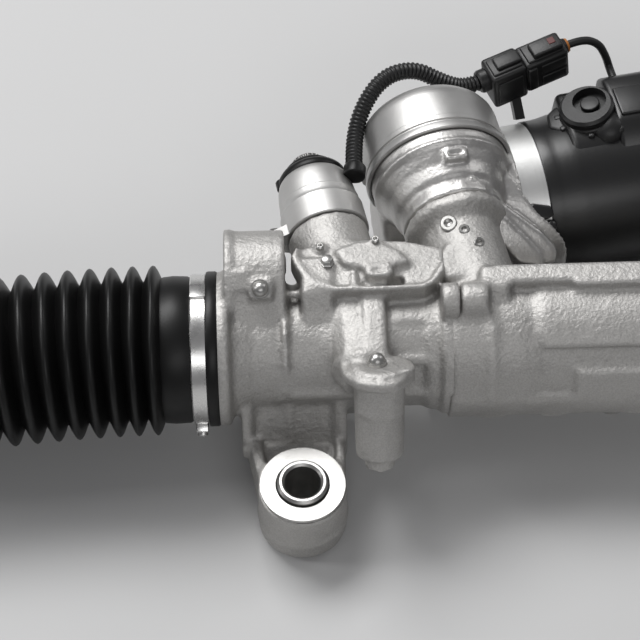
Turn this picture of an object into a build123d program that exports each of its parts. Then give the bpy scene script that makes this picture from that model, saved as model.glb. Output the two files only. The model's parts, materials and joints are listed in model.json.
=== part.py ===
from build123d import *
from math import atan2, cos, degrees, pi, radians, sin, sqrt, tan
import os

# An electric power steering rack with two pinions, in millimetres.
# Origin: the axis of the left mounting bush, at the bottom face of its steel sleeve.
# +X runs along the rack to the right-hand tie rod, +Y towards the input shaft, +Z up the bush.

# Mounting bushes
BUSH_BORE = 15.0
BUSH_SLEEVE_WALL = 3.0
BUSH_LENGTH = 34.0
BUSH_SHELL_DIAMETER = 32.0
BUSH_SHELL_WALL = 2.0
BUSH_FLANGE_THICKNESS = 1.6
LUG_RING_WALL = 2.2
LUG_RING_BOTTOM = 1.0
LUG_RING_TOP = 30.0
LUG_FLOOR = 5.0
LUG_POCKET_DEPTH = 5.5
LUG_RIM = 4.2
LUG_ROOT_LEFT = -25.0
LUG_ROOT_RIGHT = 19.0
MOUNT_SPAN = 360.0
MOUNT_SETBACK = 56.0

# Rack and pinion teeth
TOOTH_MODULE = 2.0
PRESSURE_ANGLE = 25.0
PINION_TEETH = 8
PROFILE_SHIFT = 0.4
RACK_TOOTH_HEAD = 1.8
RACK_TOOTH_FOOT = 2.4
BACKLASH = 0.15
PINION_SKEW = 10.5
RACK_DIAMETER = 26.0
RACK_TRAVEL = 72.0
TOOTH_FACE = 28.0
FLANK_STEPS = 5

# Assist drive
WORM_MODULE = 1.25
WHEEL_TEETH = 37
WORM_STARTS = 2
WORM_PITCH_RADIUS = 6.375
WORM_PRESSURE_ANGLE = 20.0
WORM_BACKLASH = 0.3
WORM_LENGTH = 26.0
WORM_BEARING_RADIUS = 8.5
WHEEL_FACE = 10.0
WHEEL_STATION = 78.0
MOTOR_RADIUS = 36.0
MOTOR_WALL = 2.5

MOTOR_START = 32.0
BELL_LENGTH = 18.0
MOTOR_END = 158.0
DRUM_RADIUS = 30.2
WHEEL_CHAMBER_RADIUS = 25.2
TOWER_SEAM = 50.0
DRUM_SEAM = 84.0
DRUM_COVER_HEIGHT = 25.0

# Wiring
CONDUIT_DIAMETER = 7.5
LEAD_DIAMETER = 3.6
CONDUIT_ROUTE = [
    (26, 126, 76),
    (26, 141, 76),
    (30, 156, 82),
    (40, 169, 88),
    (54, 175, 86),
    (66, 173, 79),
    (76.2, 172.6, 74.7),
    (85, 176, 76),
]
CONNECTOR_AXIS = (8.8, 3.4, 1.3)
PLUG_LENGTH = 17.0
SOCKET_LENGTH = 21.0
LEAD_ROUTE = [
    (120.115, 189.567, 81.187),
    (128.4, 192.77, 82.42),
    (136.5, 193.5, 79),
    (140.5, 191.5, 72),
    (142.49, 189.14, 66),
    (144.13, 180.31, 66),
]

# Stations along the rack
SPIGOT_LENGTH = 15.0
SPIGOT_RADIUS = 27.5
SPIGOT_FLANGE_RADIUS = 31.2
SPIGOT_FLANGE_THICKNESS = 6.0
LEFT_END = -52.0
SPLIT = 61.0
BARREL_RADIUS = 25.5
TUBE_RADIUS = 28.5
TUBE_SKIRT_RADIUS = 31.0
TUBE_BORE_RADIUS = 23.5
INPUT_STATION = 22.0
ASSIST_STATION = 77.0
RIGHT_OVERHANG = 60.0
RUNNING_GAP = 0.05
PART_GAP = 0.4

# Pinion shafts and their bearings
JOURNAL_RADIUS = 6.0
BALL_BEARING_RADIUS = 14.0
BALL_BEARING_WIDTH = 8.0
BALL_RADIUS = 2.2
BALL_COUNT = 8
NEEDLE_BEARING_RADIUS = 9.0
NEEDLE_BEARING_LENGTH = 9.0
UPPER_BEARING_STATION = 24.0
LOWER_BEARING_STATION = -27.0
CHAMBER_RADIUS = 17.0
SENSOR_START = 45.0
SENSOR_END = 74.0
SLEEVE_END = 88.0
SENSOR_SCREW_CIRCLE = 21.6
DRUM_SCREW_CIRCLE = 27.5
DRUM_SCREW_TURNS = (-70, -130, 170, 110)
SENSOR_SCREW_TURNS = (60, 180, 300)
INPUT_SHAFT_RADIUS = 8.0
INPUT_SHAFT_END = 86.0
TORSION_BAR_RADIUS = 2.6

# Rack guides pressing the rack against its pinions
GUIDE_RADIUS = 11.0
GUIDE_LENGTH = 8.0
GUIDE_SPRING_GAP = 3.0
GUIDE_PLUG_LENGTH = 7.0

# Ball joints, tie rods and boots
INNER_BALL_STATION = -144.0
INNER_BALL_RADIUS = 12.5
SOCKET_RADIUS = 19.0
SOCKET_BACK = 18.0
SOCKET_STUD_RADIUS = 7.0
SOCKET_STUD_LENGTH = 20.0
TIE_ROD_RADIUS = 7.5
TIE_ROD_LENGTH = 325.0
TIE_END_LENGTH = 67.0
TIE_THREAD_LENGTH = 93.0
TIE_THREAD_RADIUS = 7.0
TIE_EYE_RADIUS = 17.0
JAM_NUT_HEIGHT = 8.0
TIE_ROD_SWEEP = 0.21
TIE_ROD_DROP = 0.10
BOOT_NECK = 92.0
BOOT_RADIUS = 35.2
BOOT_VALLEY_RADIUS = 28.0
BOOT_WALL = 1.4
BOOT_CONVOLUTIONS = 18
BOOT_TAPERED = 6
BOOT_START = -55.0
CLAMP_RADIUS = 30.8
STUD_RADIUS = 6.0
STUD_BALL_RADIUS = 11.0

# Derived places
BUSH_SLEEVE_RADIUS = BUSH_BORE / 2 + BUSH_SLEEVE_WALL
LUG_RING_RADIUS = BUSH_SHELL_DIAMETER / 2 + LUG_RING_WALL
PITCH_RADIUS = TOOTH_MODULE * PINION_TEETH / 2
PINION_OFFSET = PITCH_RADIUS + PROFILE_SHIFT * TOOTH_MODULE + 7.7
WHEEL_PITCH_RADIUS = WORM_MODULE * WHEEL_TEETH / 2
WORM_OFFSET = WHEEL_PITCH_RADIUS + WORM_PITCH_RADIUS
RACK_HEIGHT = MOTOR_RADIUS + WORM_OFFSET - PINION_OFFSET
PINION_HEIGHT = RACK_HEIGHT + PINION_OFFSET
SKEW = radians(PINION_SKEW)
ALONG_WORM = (cos(SKEW), sin(SKEW), 0)
ALONG_PINION = (-sin(SKEW), cos(SKEW), 0)
DRUM_END = DRUM_SEAM + DRUM_COVER_HEIGHT
RIGHT_END = MOUNT_SPAN + RIGHT_OVERHANG
RACK_CENTRE = (LEFT_END + RIGHT_END) / 2
GUIDE_FOOT = RACK_HEIGHT - RACK_DIAMETER / 2 - GUIDE_LENGTH - GUIDE_SPRING_GAP - GUIDE_PLUG_LENGTH
MIDDLE = Plane(origin=(RACK_CENTRE, 0, 0), z_dir=(1, 0, 0))


def pinion_frame(station):
    # z along the pinion's axis, x along the worm, y down towards the rack
    return Plane(origin=(station, MOUNT_SETBACK, PINION_HEIGHT), x_dir=ALONG_WORM, z_dir=ALONG_PINION)


def tie_rod_frame():
    # z out along the left tie rod from the centre of its inner ball
    out = Vector(-sqrt(1 - TIE_ROD_SWEEP**2 - TIE_ROD_DROP**2), -TIE_ROD_SWEEP, -TIE_ROD_DROP)
    ball = (INNER_BALL_STATION, MOUNT_SETBACK, RACK_HEIGHT)
    return Plane(origin=ball, x_dir=out.cross(Vector(0, 0, 1)), z_dir=out)


RACK = Plane(origin=(0, MOUNT_SETBACK, RACK_HEIGHT), x_dir=(0, 1, 0), z_dir=(1, 0, 0))
INPUT = pinion_frame(INPUT_STATION)
ASSIST = pinion_frame(ASSIST_STATION)
WORM = Plane(
    origin=(ASSIST * Pos(0, WORM_OFFSET, WHEEL_STATION)).position,
    x_dir=(0, 0, 1),
    z_dir=ALONG_WORM,
)
LEFT_ROD = tie_rod_frame()


def rod(frame, start, end, radius, bore=0.0):
    section = Circle(radius)
    if bore:
        section -= Circle(bore)
    return frame * Pos(0, 0, start) * extrude(section, end - start)


def turned(frame, steps, bore=0.0):
    # A turned piece on the frame's z axis. steps: (distance along the axis, radius)
    rim = [(radius, along) for along, radius in steps]
    outline = Polyline((bore, steps[0][0]), *rim, (bore, steps[-1][0]), close=True)
    return frame * revolve(Plane.XZ * make_face(outline), Axis.Z)


def ring_of(shape, count, radius, start_angle=0.0):
    turns = [start_angle + 360 * index / count for index in range(count)]
    return [Rot(0, 0, turn) * Pos(radius, 0, 0) * shape for turn in turns]


def mirrored(shape):
    return mirror(shape, about=MIDDLE)


def hex_nut(width, height, bore=0.0):
    section = RegularPolygon(width / 2, 6, major_radius=False)
    if bore:
        section -= Circle(bore)
    return extrude(section, height)


def cap_screw(radius, length):
    # A flanged hexagon screw, its seat at z = 0 and its shank pointing down
    head = hex_nut(2.6 * radius, 1.1 * radius)
    washer = Cylinder(1.7 * radius, 0.3 * radius, align=(Align.CENTER, Align.CENTER, Align.MIN))
    shank = Cylinder(radius, length, align=(Align.CENTER, Align.CENTER, Align.MAX))
    return washer + Pos(0, 0, 0.3 * radius) * head + shank


# Mounting lugs -----------------------------------------------------------------------------
def lug_arm(root_left, root_right):
    # A tapered arm from the bush ring back into the rack housing, sunk between two rims
    root = MOUNT_SETBACK - 12
    outline = Polyline(
        (-LUG_RING_RADIUS + 0.5, 2),
        (root_left, root),
        (root_right, root),
        (LUG_RING_RADIUS - 0.5, 0),
        close=True,
    )
    arm = Pos(0, 0, LUG_FLOOR) * extrude(make_face(outline), LUG_RING_TOP - LUG_FLOOR - 1)
    pocket = Polyline(
        (-LUG_RING_RADIUS + LUG_RIM, 8),
        (root_left + LUG_RIM + 1, root),
        (root_right - LUG_RIM, root),
        (LUG_RING_RADIUS - LUG_RIM, 8),
        close=True,
    )
    top = LUG_RING_TOP - 1 - LUG_POCKET_DEPTH
    arm -= Pos(0, 0, top) * extrude(make_face(pocket), LUG_POCKET_DEPTH + 1)
    rib = Polyline((-4.5, root), (4, root), (1, 26), (-1.5, 26), close=True)
    arm += Pos(0, 0, top) * extrude(make_face(rib), LUG_POCKET_DEPTH - 1.5)
    ring = Pos(0, 0, LUG_RING_BOTTOM) * Cylinder(
        LUG_RING_RADIUS,
        LUG_RING_TOP - LUG_RING_BOTTOM,
        align=(Align.CENTER, Align.CENTER, Align.MIN),
    )
    ring = chamfer(ring.edges().sort_by(Axis.Z)[0], 1.8)
    parting = Pos(0, 0, 12) * Cylinder(LUG_RING_RADIUS + 0.7, 2.4)
    return arm + ring + parting


def bush_bore():
    return Cylinder(BUSH_SHELL_DIAMETER / 2, 3 * BUSH_LENGTH)


def mount_shell():
    tube = rod(Plane.XY, LUG_RING_BOTTOM, LUG_RING_TOP, BUSH_SHELL_DIAMETER / 2,
               BUSH_SHELL_DIAMETER / 2 - BUSH_SHELL_WALL)
    lip = rod(Plane.XY, LUG_RING_TOP, LUG_RING_TOP + BUSH_FLANGE_THICKNESS,
              LUG_RING_RADIUS - 0.8, BUSH_SLEEVE_RADIUS + 0.6)
    return tube + lip


def mount_rubber():
    return rod(Plane.XY, LUG_RING_BOTTOM + 1, LUG_RING_TOP,
               BUSH_SHELL_DIAMETER / 2 - BUSH_SHELL_WALL, BUSH_SLEEVE_RADIUS)


def mount_sleeve():
    sleeve = rod(Plane.XY, 0, BUSH_LENGTH, BUSH_SLEEVE_RADIUS, BUSH_BORE / 2)
    return chamfer(sleeve.edges().filter_by(GeomType.CIRCLE).group_by(Axis.Z)[-1], 1.0)


# Castings -----------------------------------------------------------------------------------
def rack_section(outline, start, end):
    return RACK * Pos(0, 0, start) * extrude(outline, end - start)


def spigot(end, inward):
    # The boot's seat and its flange, with the same shape at both ends of the rack
    seat = rod(RACK, min(end, end + inward * SPIGOT_LENGTH), max(end, end + inward * SPIGOT_LENGTH),
               SPIGOT_RADIUS)
    flange_start = end + inward * SPIGOT_LENGTH
    flange_end = flange_start + inward * SPIGOT_FLANGE_THICKNESS
    flange = rod(RACK, min(flange_start, flange_end), max(flange_start, flange_end),
                 SPIGOT_FLANGE_RADIUS)
    cone_end = flange_end + inward * 9
    cone = turned(RACK, sorted([(flange_end, SPIGOT_RADIUS + 1), (cone_end, BARREL_RADIUS)]))
    return seat + flange + cone


def bearing_chamber(station):
    # The pinion's chamber: round the teeth, the ball bearing and the needle bearing
    frame = pinion_frame(station)
    wall = turned(frame, [
        (LOWER_BEARING_STATION - 3, 10.5),
        (LOWER_BEARING_STATION + 2, 12.5),
        (-14, 15.5),
        (8, 15.5),
        (14, CHAMBER_RADIUS),
        (SENSOR_START, CHAMBER_RADIUS),
    ])
    return wall


def chamber_bore(station, mouth):
    frame = pinion_frame(station)
    tooth_tip = PITCH_RADIUS + (1 + PROFILE_SHIFT) * TOOTH_MODULE
    return turned(frame, [
        (LOWER_BEARING_STATION - 1, NEEDLE_BEARING_RADIUS),
        (LOWER_BEARING_STATION + NEEDLE_BEARING_LENGTH, NEEDLE_BEARING_RADIUS),
        (LOWER_BEARING_STATION + NEEDLE_BEARING_LENGTH, tooth_tip + 1),
        (UPPER_BEARING_STATION, tooth_tip + 1),
        (UPPER_BEARING_STATION, BALL_BEARING_RADIUS),
        (mouth, BALL_BEARING_RADIUS),
    ])


def deck():
    # The ribbed plate over the input pinion, with a rounded left end
    outline = Polyline((-4, 17), (-4, 13), (6, 2.5), (SPLIT, 2.5), (SPLIT, 22), (2, 26), close=True)
    plate = Pos(0, MOUNT_SETBACK, RACK_HEIGHT + 26) * extrude(make_face(outline), 10)
    plate = fillet(plate.edges().filter_by(Axis.Z).sort_by(Axis.X)[:3], 3)
    raised = Polyline((12, 9), (20, 6), (56, 6), (60, 14), (54, 27), (16, 27), close=True)
    plate += Pos(0, MOUNT_SETBACK, RACK_HEIGHT + 36) * extrude(make_face(raised), 2)
    slot = SlotOverall(13, 8)
    plate += Pos(33, MOUNT_SETBACK + 12, RACK_HEIGHT + 38) * extrude(slot, 2.2)
    plate -= Pos(33, MOUNT_SETBACK + 12, RACK_HEIGHT + 34) * extrude(SlotOverall(8, 4), 8)
    plate -= Pos(33, MOUNT_SETBACK + 5, RACK_HEIGHT + 36) * Box(16, 4, 5)
    return plate


def front_boss():
    # A stepped boss sloping down from the pinion's lower bearing, with its screwed ear
    frame = Plane(
        origin=(31.5, MOUNT_SETBACK - 31, RACK_HEIGHT + 25),
        x_dir=(1, 0, 0),
        z_dir=(0, -sin(radians(30)), -cos(radians(30))),
    )
    body = turned(frame, [(-4, 11.5), (0, 12), (3, 12), (4, 10.4), (36, 9.8), (37, 6.3), (42, 6.3)])
    ear = frame * Pos(9, 3, -4) * extrude(Circle(5), 7)
    ear -= frame * Pos(9, 3, -5) * extrude(Circle(1.4), 5)
    return body + ear


def gear_housing():
    body = spigot(LEFT_END, 1)
    body += rod(RACK, LEFT_END + SPIGOT_LENGTH, SPLIT, BARREL_RADIUS)
    knuckle = make_hull((Pos(15, 19) * Circle(20.5) + Circle(20)).edges())
    body += rack_section(knuckle, -33, -8)
    collar = make_hull((Pos(15, 19) * Circle(21.5) + Circle(21)).edges())
    body += rack_section(collar, -34.5, -30)
    body += bearing_chamber(INPUT_STATION)
    body += deck() + front_boss()
    skirt = Polyline((-BARREL_RADIUS - 2, 2), (-18, 17), (18, 17), (18, -20), (-18, -20), close=True)
    body += rack_section(make_face(skirt) & Circle(BARREL_RADIUS + 1.5), -8, SPLIT)
    for station, width in ((24, 5), (33, 9)):
        web = make_hull((Pos(3, BARREL_RADIUS + 5) * Circle(3) + Pos(-19, 19) * Circle(4)).edges())
        body += rack_section(web, station - width / 2, station + width / 2)
    body += joint_ears(SPLIT - 7, SPLIT)
    body += guide_tower(INPUT_STATION)
    body += lug_arm(LUG_ROOT_LEFT, LUG_ROOT_RIGHT)
    body -= bush_bore()
    body -= rod(RACK, LEFT_END - 1, SPLIT + 1, RACK_DIAMETER / 2 + 1.5)
    body -= rod(RACK, LEFT_END - 1, LEFT_END + 8, SOCKET_RADIUS + 2)
    body -= chamber_bore(INPUT_STATION, SENSOR_START + 1)
    body -= guide_bore(INPUT_STATION)
    body -= joint_holes(SPLIT - 7, SPLIT + 1)
    body -= rod(ASSIST, 0, 60, CHAMBER_RADIUS + PART_GAP)
    body -= plug_seats()
    return body


def ear_places():
    return [(0, 37), (6, -37), (30, -21)]


def joint_ears(start, end):
    ears = [Pos(x, y) * Circle(8) for x, y in ear_places()]
    section = Circle(BARREL_RADIUS + 2)
    for ear in ears:
        section += make_hull((ear + Circle(15)).edges())
    return rack_section(section, start, end)


def joint_holes(start, end):
    holes = [Pos(x, y) * Circle(3) for x, y in ear_places()]
    return Compound(children=[rack_section(hole, start, end) for hole in holes])


def joint_bolts():
    bolts = []
    for x, y in ear_places():
        seat = RACK * Pos(x, y, SPLIT + 8)
        bolts.append(seat * cap_screw(3 - RUNNING_GAP, 14))
    return Compound(children=bolts)


def guide_bore(station):
    reach = MOUNT_SETBACK
    return Pos(station, reach, 0) * extrude(Circle(GUIDE_RADIUS), RACK_HEIGHT)


def guide_tower(station):
    base = Pos(station, MOUNT_SETBACK, GUIDE_FOOT)
    return base * extrude(Circle(GUIDE_RADIUS + 3.5), RACK_HEIGHT - GUIDE_FOOT)


def plug_frames():
    # Seats of the small pressed-in cover plugs: on the knuckle and at the pinion's lower end
    knuckle = Plane(origin=(-15, MOUNT_SETBACK + 3, RACK_HEIGHT + 36.6), z_dir=(0, -0.5, 0.86))
    lower = Plane(origin=(30.5, MOUNT_SETBACK - 29, RACK_HEIGHT + 28.5), z_dir=(0, 0.5, 0.87))
    return [knuckle, lower]


def plug_seats():
    return Compound(children=[frame * Pos(0, 0, -2) * extrude(Circle(4), 8) for frame in plug_frames()])


def cover_plugs():
    plugs = []
    for frame in plug_frames():
        plug = frame * Pos(0, 0, -2) * extrude(Circle(4), 3)
        dome = frame * Pos(0, 0, 1) * Sphere(3.4)
        plugs.append(plug + (dome & frame * Pos(0, 0, 1) * extrude(Circle(4), 4)))
    return Compound(children=plugs)


def rack_tube():
    upper = Circle(TUBE_RADIUS)
    skirt_cut = Pos(0, -TUBE_SKIRT_RADIUS + 7.5) * Rectangle(3 * TUBE_SKIRT_RADIUS, 2 * TUBE_SKIRT_RADIUS + 15)
    section = upper + (Circle(TUBE_SKIRT_RADIUS) & skirt_cut)
    body = rack_section(section, SPLIT, RIGHT_END - SPIGOT_LENGTH)
    shelf = Pos(7.5, 18) * Rectangle(11, 36)
    body += rack_section(shelf, SPLIT + 19, 190)
    body += spigot(RIGHT_END, -1)
    body += bearing_chamber(ASSIST_STATION)
    body += joint_ears(SPLIT, SPLIT + 8)
    body += turned(ASSIST, [(TOWER_SEAM - 9, CHAMBER_RADIUS), (TOWER_SEAM - 5, 22), (TOWER_SEAM, 22)])
    body += drum_ears(TOWER_SEAM - 5, TOWER_SEAM)
    for station in (230, 290):
        body += rod(RACK, station - 3, station + 3, TUBE_SKIRT_RADIUS + 1.5)
    body += guide_tower(ASSIST_STATION)
    body += Pos(131, MOUNT_SETBACK - 14, GUIDE_FOOT + 2) * extrude(Circle(6.5), 14)
    body += Pos(MOUNT_SPAN, 0, 0) * lug_arm(-LUG_ROOT_RIGHT, -LUG_ROOT_LEFT)
    body -= Pos(MOUNT_SPAN, 0, 0) * bush_bore()
    body -= rod(RACK, SPLIT - 1, RIGHT_END + 1, RACK_DIAMETER / 2 + 1.5)
    body -= rod(RACK, 105, RIGHT_END - 40, TUBE_BORE_RADIUS)
    body -= rod(RACK, RIGHT_END - 8, RIGHT_END + 1, SOCKET_RADIUS + 2)
    body -= rod(RACK, RIGHT_END - 30, RIGHT_END - 7, RACK_DIAMETER / 2 + 4)
    body -= chamber_bore(ASSIST_STATION, 51)
    body -= guide_bore(ASSIST_STATION)
    body -= joint_holes(SPLIT - 1, SPLIT + 9)
    for ear in drum_screw_places(TOWER_SEAM - 4):
        body -= ear * extrude(Circle(1.8), 6)
    return body


def rack_bush():
    return rod(RACK, RIGHT_END - 30, RIGHT_END - 9, RACK_DIAMETER / 2 + 4, RACK_DIAMETER / 2 + RUNNING_GAP)


def guide_parts(station):
    # Guide, cup springs and screwed plug below the rack, down to the casting's foot
    seat = Pos(station, MOUNT_SETBACK, 0)
    back = RACK_HEIGHT - RACK_DIAMETER / 2
    foot = back - GUIDE_LENGTH
    guide = seat * Pos(0, 0, foot) * extrude(Circle(GUIDE_RADIUS - PART_GAP / 4), GUIDE_LENGTH + 4)
    guide -= rod(RACK, station - GUIDE_RADIUS, station + GUIDE_RADIUS, RACK_DIAMETER / 2 + RUNNING_GAP)
    half_stack = GUIDE_SPRING_GAP / 2
    cup = Polyline((4, 0), (9, half_stack - 1), (9, half_stack), (4, 1), close=True)
    springs = []
    for height, side in ((foot - half_stack, 1), (foot - half_stack, -1)):
        washer = revolve(Plane.XZ * make_face(cup), Axis.Z)
        flipped = washer if side < 0 else mirror(washer, about=Plane.XY)
        springs.append(seat * Pos(0, 0, height + side * half_stack) * flipped)
    top = foot - GUIDE_SPRING_GAP
    plug = seat * Pos(0, 0, top - GUIDE_PLUG_LENGTH) * extrude(Circle(GUIDE_RADIUS), GUIDE_PLUG_LENGTH)
    plug -= seat * Pos(0, 0, top - GUIDE_PLUG_LENGTH) * extrude(RegularPolygon(6, 6), 4)
    return guide, springs, plug


def ball_bearing(frame, start, inner_radius):
    # Two races and their balls between a shaft and its bore
    outer_radius = BALL_BEARING_RADIUS
    width = BALL_BEARING_WIDTH
    track = (inner_radius + outer_radius) / 2
    inner = rod(frame, start, start + width, track - 1.2, inner_radius)
    outer = rod(frame, start, start + width, outer_radius, track + 1.2)
    groove = frame * Pos(0, 0, start + width / 2) * Torus(track, BALL_RADIUS + RUNNING_GAP)
    balls = [frame * Pos(0, 0, start + width / 2) * ball
             for ball in ring_of(Sphere(BALL_RADIUS), BALL_COUNT, track)]
    return [inner - groove, outer - groove] + balls


def needle_bearing(frame):
    start = LOWER_BEARING_STATION
    return rod(frame, start, start + NEEDLE_BEARING_LENGTH - 0.5, NEEDLE_BEARING_RADIUS,
               JOURNAL_RADIUS + RUNNING_GAP)


def involute(base_radius, radius):
    spread = sqrt((radius / base_radius) ** 2 - 1)
    return spread - atan2(spread, 1)


def gear_outline(teeth, pitch_radius, thickness, pressure_angle, root_radius, tip_radius, turn):
    # One closed outline: involute flanks between the root and the tip circle
    base_radius = pitch_radius * cos(radians(pressure_angle))
    half = thickness / (2 * pitch_radius) + involute(base_radius, pitch_radius)
    flank_start = max(base_radius, root_radius)
    flank = []
    for step in range(FLANK_STEPS):
        radius = flank_start + (tip_radius - flank_start) * step / (FLANK_STEPS - 1)
        flank.append((radius, half - involute(base_radius, radius)))
    if root_radius < base_radius:
        flank.insert(0, (root_radius, flank[0][1]))
    points = []
    for tooth in range(teeth):
        centre = turn + 2 * pi * tooth / teeth
        for radius, angle in flank:
            points.append((radius * cos(centre - angle), radius * sin(centre - angle)))
        for radius, angle in reversed(flank):
            points.append((radius * cos(centre + angle), radius * sin(centre + angle)))
    return make_face(Polyline(*points, close=True))


def tooth_phase(station):
    # The tooth space over the rack's tooth is where the rack's own pitch puts it
    pitch = pi * TOOTH_MODULE / cos(SKEW)
    return 2 * pi * ((station - INPUT_STATION) / pitch % 1) / PINION_TEETH


def pinion_teeth(station):
    thickness = TOOTH_MODULE * (pi / 2 + 2 * PROFILE_SHIFT * tan(radians(PRESSURE_ANGLE)))
    outline = gear_outline(
        PINION_TEETH, PITCH_RADIUS, thickness - BACKLASH, PRESSURE_ANGLE,
        PITCH_RADIUS - 0.8 * TOOTH_MODULE,
        PITCH_RADIUS + (1 + PROFILE_SHIFT) * TOOTH_MODULE - 0.2,
        pi / 2 + tooth_phase(station),
    )
    return pinion_frame(station) * Pos(0, 0, -TOOTH_FACE / 2) * extrude(outline, TOOTH_FACE)


def rack_comb():
    # The spaces between the rack's teeth, cut square to the pinions' axes
    pitch = pi * TOOTH_MODULE
    spread = tan(radians(PRESSURE_ANGLE))
    reference = PITCH_RADIUS + PROFILE_SHIFT * TOOTH_MODULE
    half = (pitch / 2 + BACKLASH) / 2
    head, foot = RACK_TOOTH_HEAD, RACK_TOOTH_FOOT
    first = -int((RACK_TRAVEL + 14) / pitch)
    last = int((ASSIST_STATION - INPUT_STATION + RACK_TRAVEL + 14) / pitch)
    points = []
    for index in range(first, last + 1):
        middle = index * pitch
        top = half + head * spread
        root = half - foot * spread
        points += [
            (middle - top, reference - head),
            (middle - root, reference + foot),
            (middle + root, reference + foot),
            (middle + top, reference - head),
        ]
    ends = [(points[-1][0] + 2, reference - head - RACK_DIAMETER / 2), (points[0][0] - 2, reference - head - RACK_DIAMETER / 2)]
    outer = [(ends[0][0], reference - head), ends[0], ends[1], (ends[1][0], reference - head)]
    comb = make_face(Polyline(*points, *outer, close=True))
    # The comb reaches past both sides of the bar, which runs at a slant to it
    reach = RACK_DIAMETER + points[-1][0] * sin(radians(PINION_SKEW))
    return INPUT * Pos(0, 0, -reach) * extrude(comb, 2 * reach)


def rack_bar():
    start = INNER_BALL_STATION + SOCKET_BACK
    end = 2 * RACK_CENTRE - start
    bar = rod(RACK, start, end, RACK_DIAMETER / 2)
    bar -= rod(RACK, start, start + SOCKET_STUD_LENGTH + 1, SOCKET_STUD_RADIUS)
    bar -= rod(RACK, end - SOCKET_STUD_LENGTH - 1, end, SOCKET_STUD_RADIUS)
    return bar - rack_comb()


def input_pinion():
    head = turned(INPUT, [
        (LOWER_BEARING_STATION, JOURNAL_RADIUS),
        (UPPER_BEARING_STATION + BALL_BEARING_WIDTH, JOURNAL_RADIUS),
        (UPPER_BEARING_STATION + BALL_BEARING_WIDTH, 10.5),
        (50, 10.5),
    ])
    head -= rod(INPUT, 40, 51, INPUT_SHAFT_RADIUS + RUNNING_GAP)
    head -= rod(INPUT, 34, 41, TORSION_BAR_RADIUS)
    return head + pinion_teeth(INPUT_STATION)


def torsion_bar():
    return rod(INPUT, 34, 78, TORSION_BAR_RADIUS)


def input_shaft():
    shaft = turned(INPUT, [
        (40 + PART_GAP, INPUT_SHAFT_RADIUS),
        (52, INPUT_SHAFT_RADIUS),
        (52, 11.5),
        (57, 11.5),
        (57, INPUT_SHAFT_RADIUS),
        (INPUT_SHAFT_END - 18, INPUT_SHAFT_RADIUS),
        (INPUT_SHAFT_END - 17, 7.4),
        (INPUT_SHAFT_END - 1, 7.4),
        (INPUT_SHAFT_END, 6.6),
    ])
    serration = Pos(7.6, 0, 0) * Cylinder(0.8, 15, rotation=(0, 0, 45))
    for cut in ring_of(serration, 24, 0):
        shaft -= INPUT * Pos(0, 0, INPUT_SHAFT_END - 7.4) * cut
    shaft -= rod(INPUT, 40, 70, TORSION_BAR_RADIUS + PART_GAP)
    shaft -= rod(INPUT, 70, 78, TORSION_BAR_RADIUS)
    return shaft


def sensor_coil():
    return rod(INPUT, 51, 60, BALL_BEARING_RADIUS, 12)


def sensor_housing():
    body = turned(INPUT, [
        (SENSOR_START, 18.2),
        (52, 18.2),
        (56, 17.4),
        (SENSOR_END - 3, 15.8),
        (SENSOR_END, 15.2),
    ])
    for turn in SENSOR_SCREW_TURNS:
        ear = INPUT * Pos(0, 0, SENSOR_START) * Rot(0, 0, turn)
        body += ear * Pos(SENSOR_SCREW_CIRCLE, 0, 0) * extrude(Circle(4), 5)
    body += gland_boss()
    body -= rod(INPUT, SENSOR_START - 1, 62, BALL_BEARING_RADIUS)
    body -= rod(INPUT, 61, SENSOR_END + 1, INPUT_SHAFT_RADIUS + 2.5)
    for turn in SENSOR_SCREW_TURNS:
        ear = INPUT * Pos(0, 0, SENSOR_START - 1) * Rot(0, 0, turn)
        body -= ear * Pos(SENSOR_SCREW_CIRCLE, 0, 0) * extrude(Circle(1.8), 7)
    return body


def sensor_bush():
    return rod(INPUT, 63, SENSOR_END - 2, INPUT_SHAFT_RADIUS + 2.5, INPUT_SHAFT_RADIUS + RUNNING_GAP)


def dust_sleeve():
    # The open rubber sleeve round the serrated end of the input shaft
    outer = turned(INPUT, [(SENSOR_END, 16.4), (SENSOR_END + 2, 17), (SLEEVE_END - 2, 16.4), (SLEEVE_END, 15.4)])
    return outer - rod(INPUT, SENSOR_END - 1, SLEEVE_END + 1, 12.5)


def worm_wheel_pieces():
    tooth = pi * WORM_MODULE
    lead_angle = atan2(WORM_STARTS * tooth, 2 * pi * WORM_PITCH_RADIUS)
    outline = gear_outline(
        WHEEL_TEETH, WHEEL_PITCH_RADIUS, tooth / 2, WORM_PRESSURE_ANGLE,
        WHEEL_PITCH_RADIUS - 1.3 * WORM_MODULE,
        WHEEL_PITCH_RADIUS + WORM_MODULE,
        pi / 2 + pi / WHEEL_TEETH,
    )
    twist = degrees(WHEEL_FACE * tan(lead_angle) / WHEEL_PITCH_RADIUS)
    blank = Solid.extrude_linear_with_rotation(
        (Rot(0, 0, -twist / 2) * outline).face(), (0, 0, 0), (0, 0, WHEEL_FACE), twist)
    wheel = ASSIST * Pos(0, 0, WHEEL_STATION - WHEEL_FACE / 2) * blank
    for recess in (WHEEL_STATION - WHEEL_FACE / 2 - 1, WHEEL_STATION + WHEEL_FACE / 2 - 2):
        wheel -= rod(ASSIST, recess, recess + 3, WHEEL_PITCH_RADIUS - 5, 11)
    hub = rod(ASSIST, WHEEL_STATION - 8, WHEEL_STATION + 8, 10)
    return (wheel + hub) - rod(ASSIST, WHEEL_STATION - 9, WHEEL_STATION + 9, JOURNAL_RADIUS)


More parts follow.
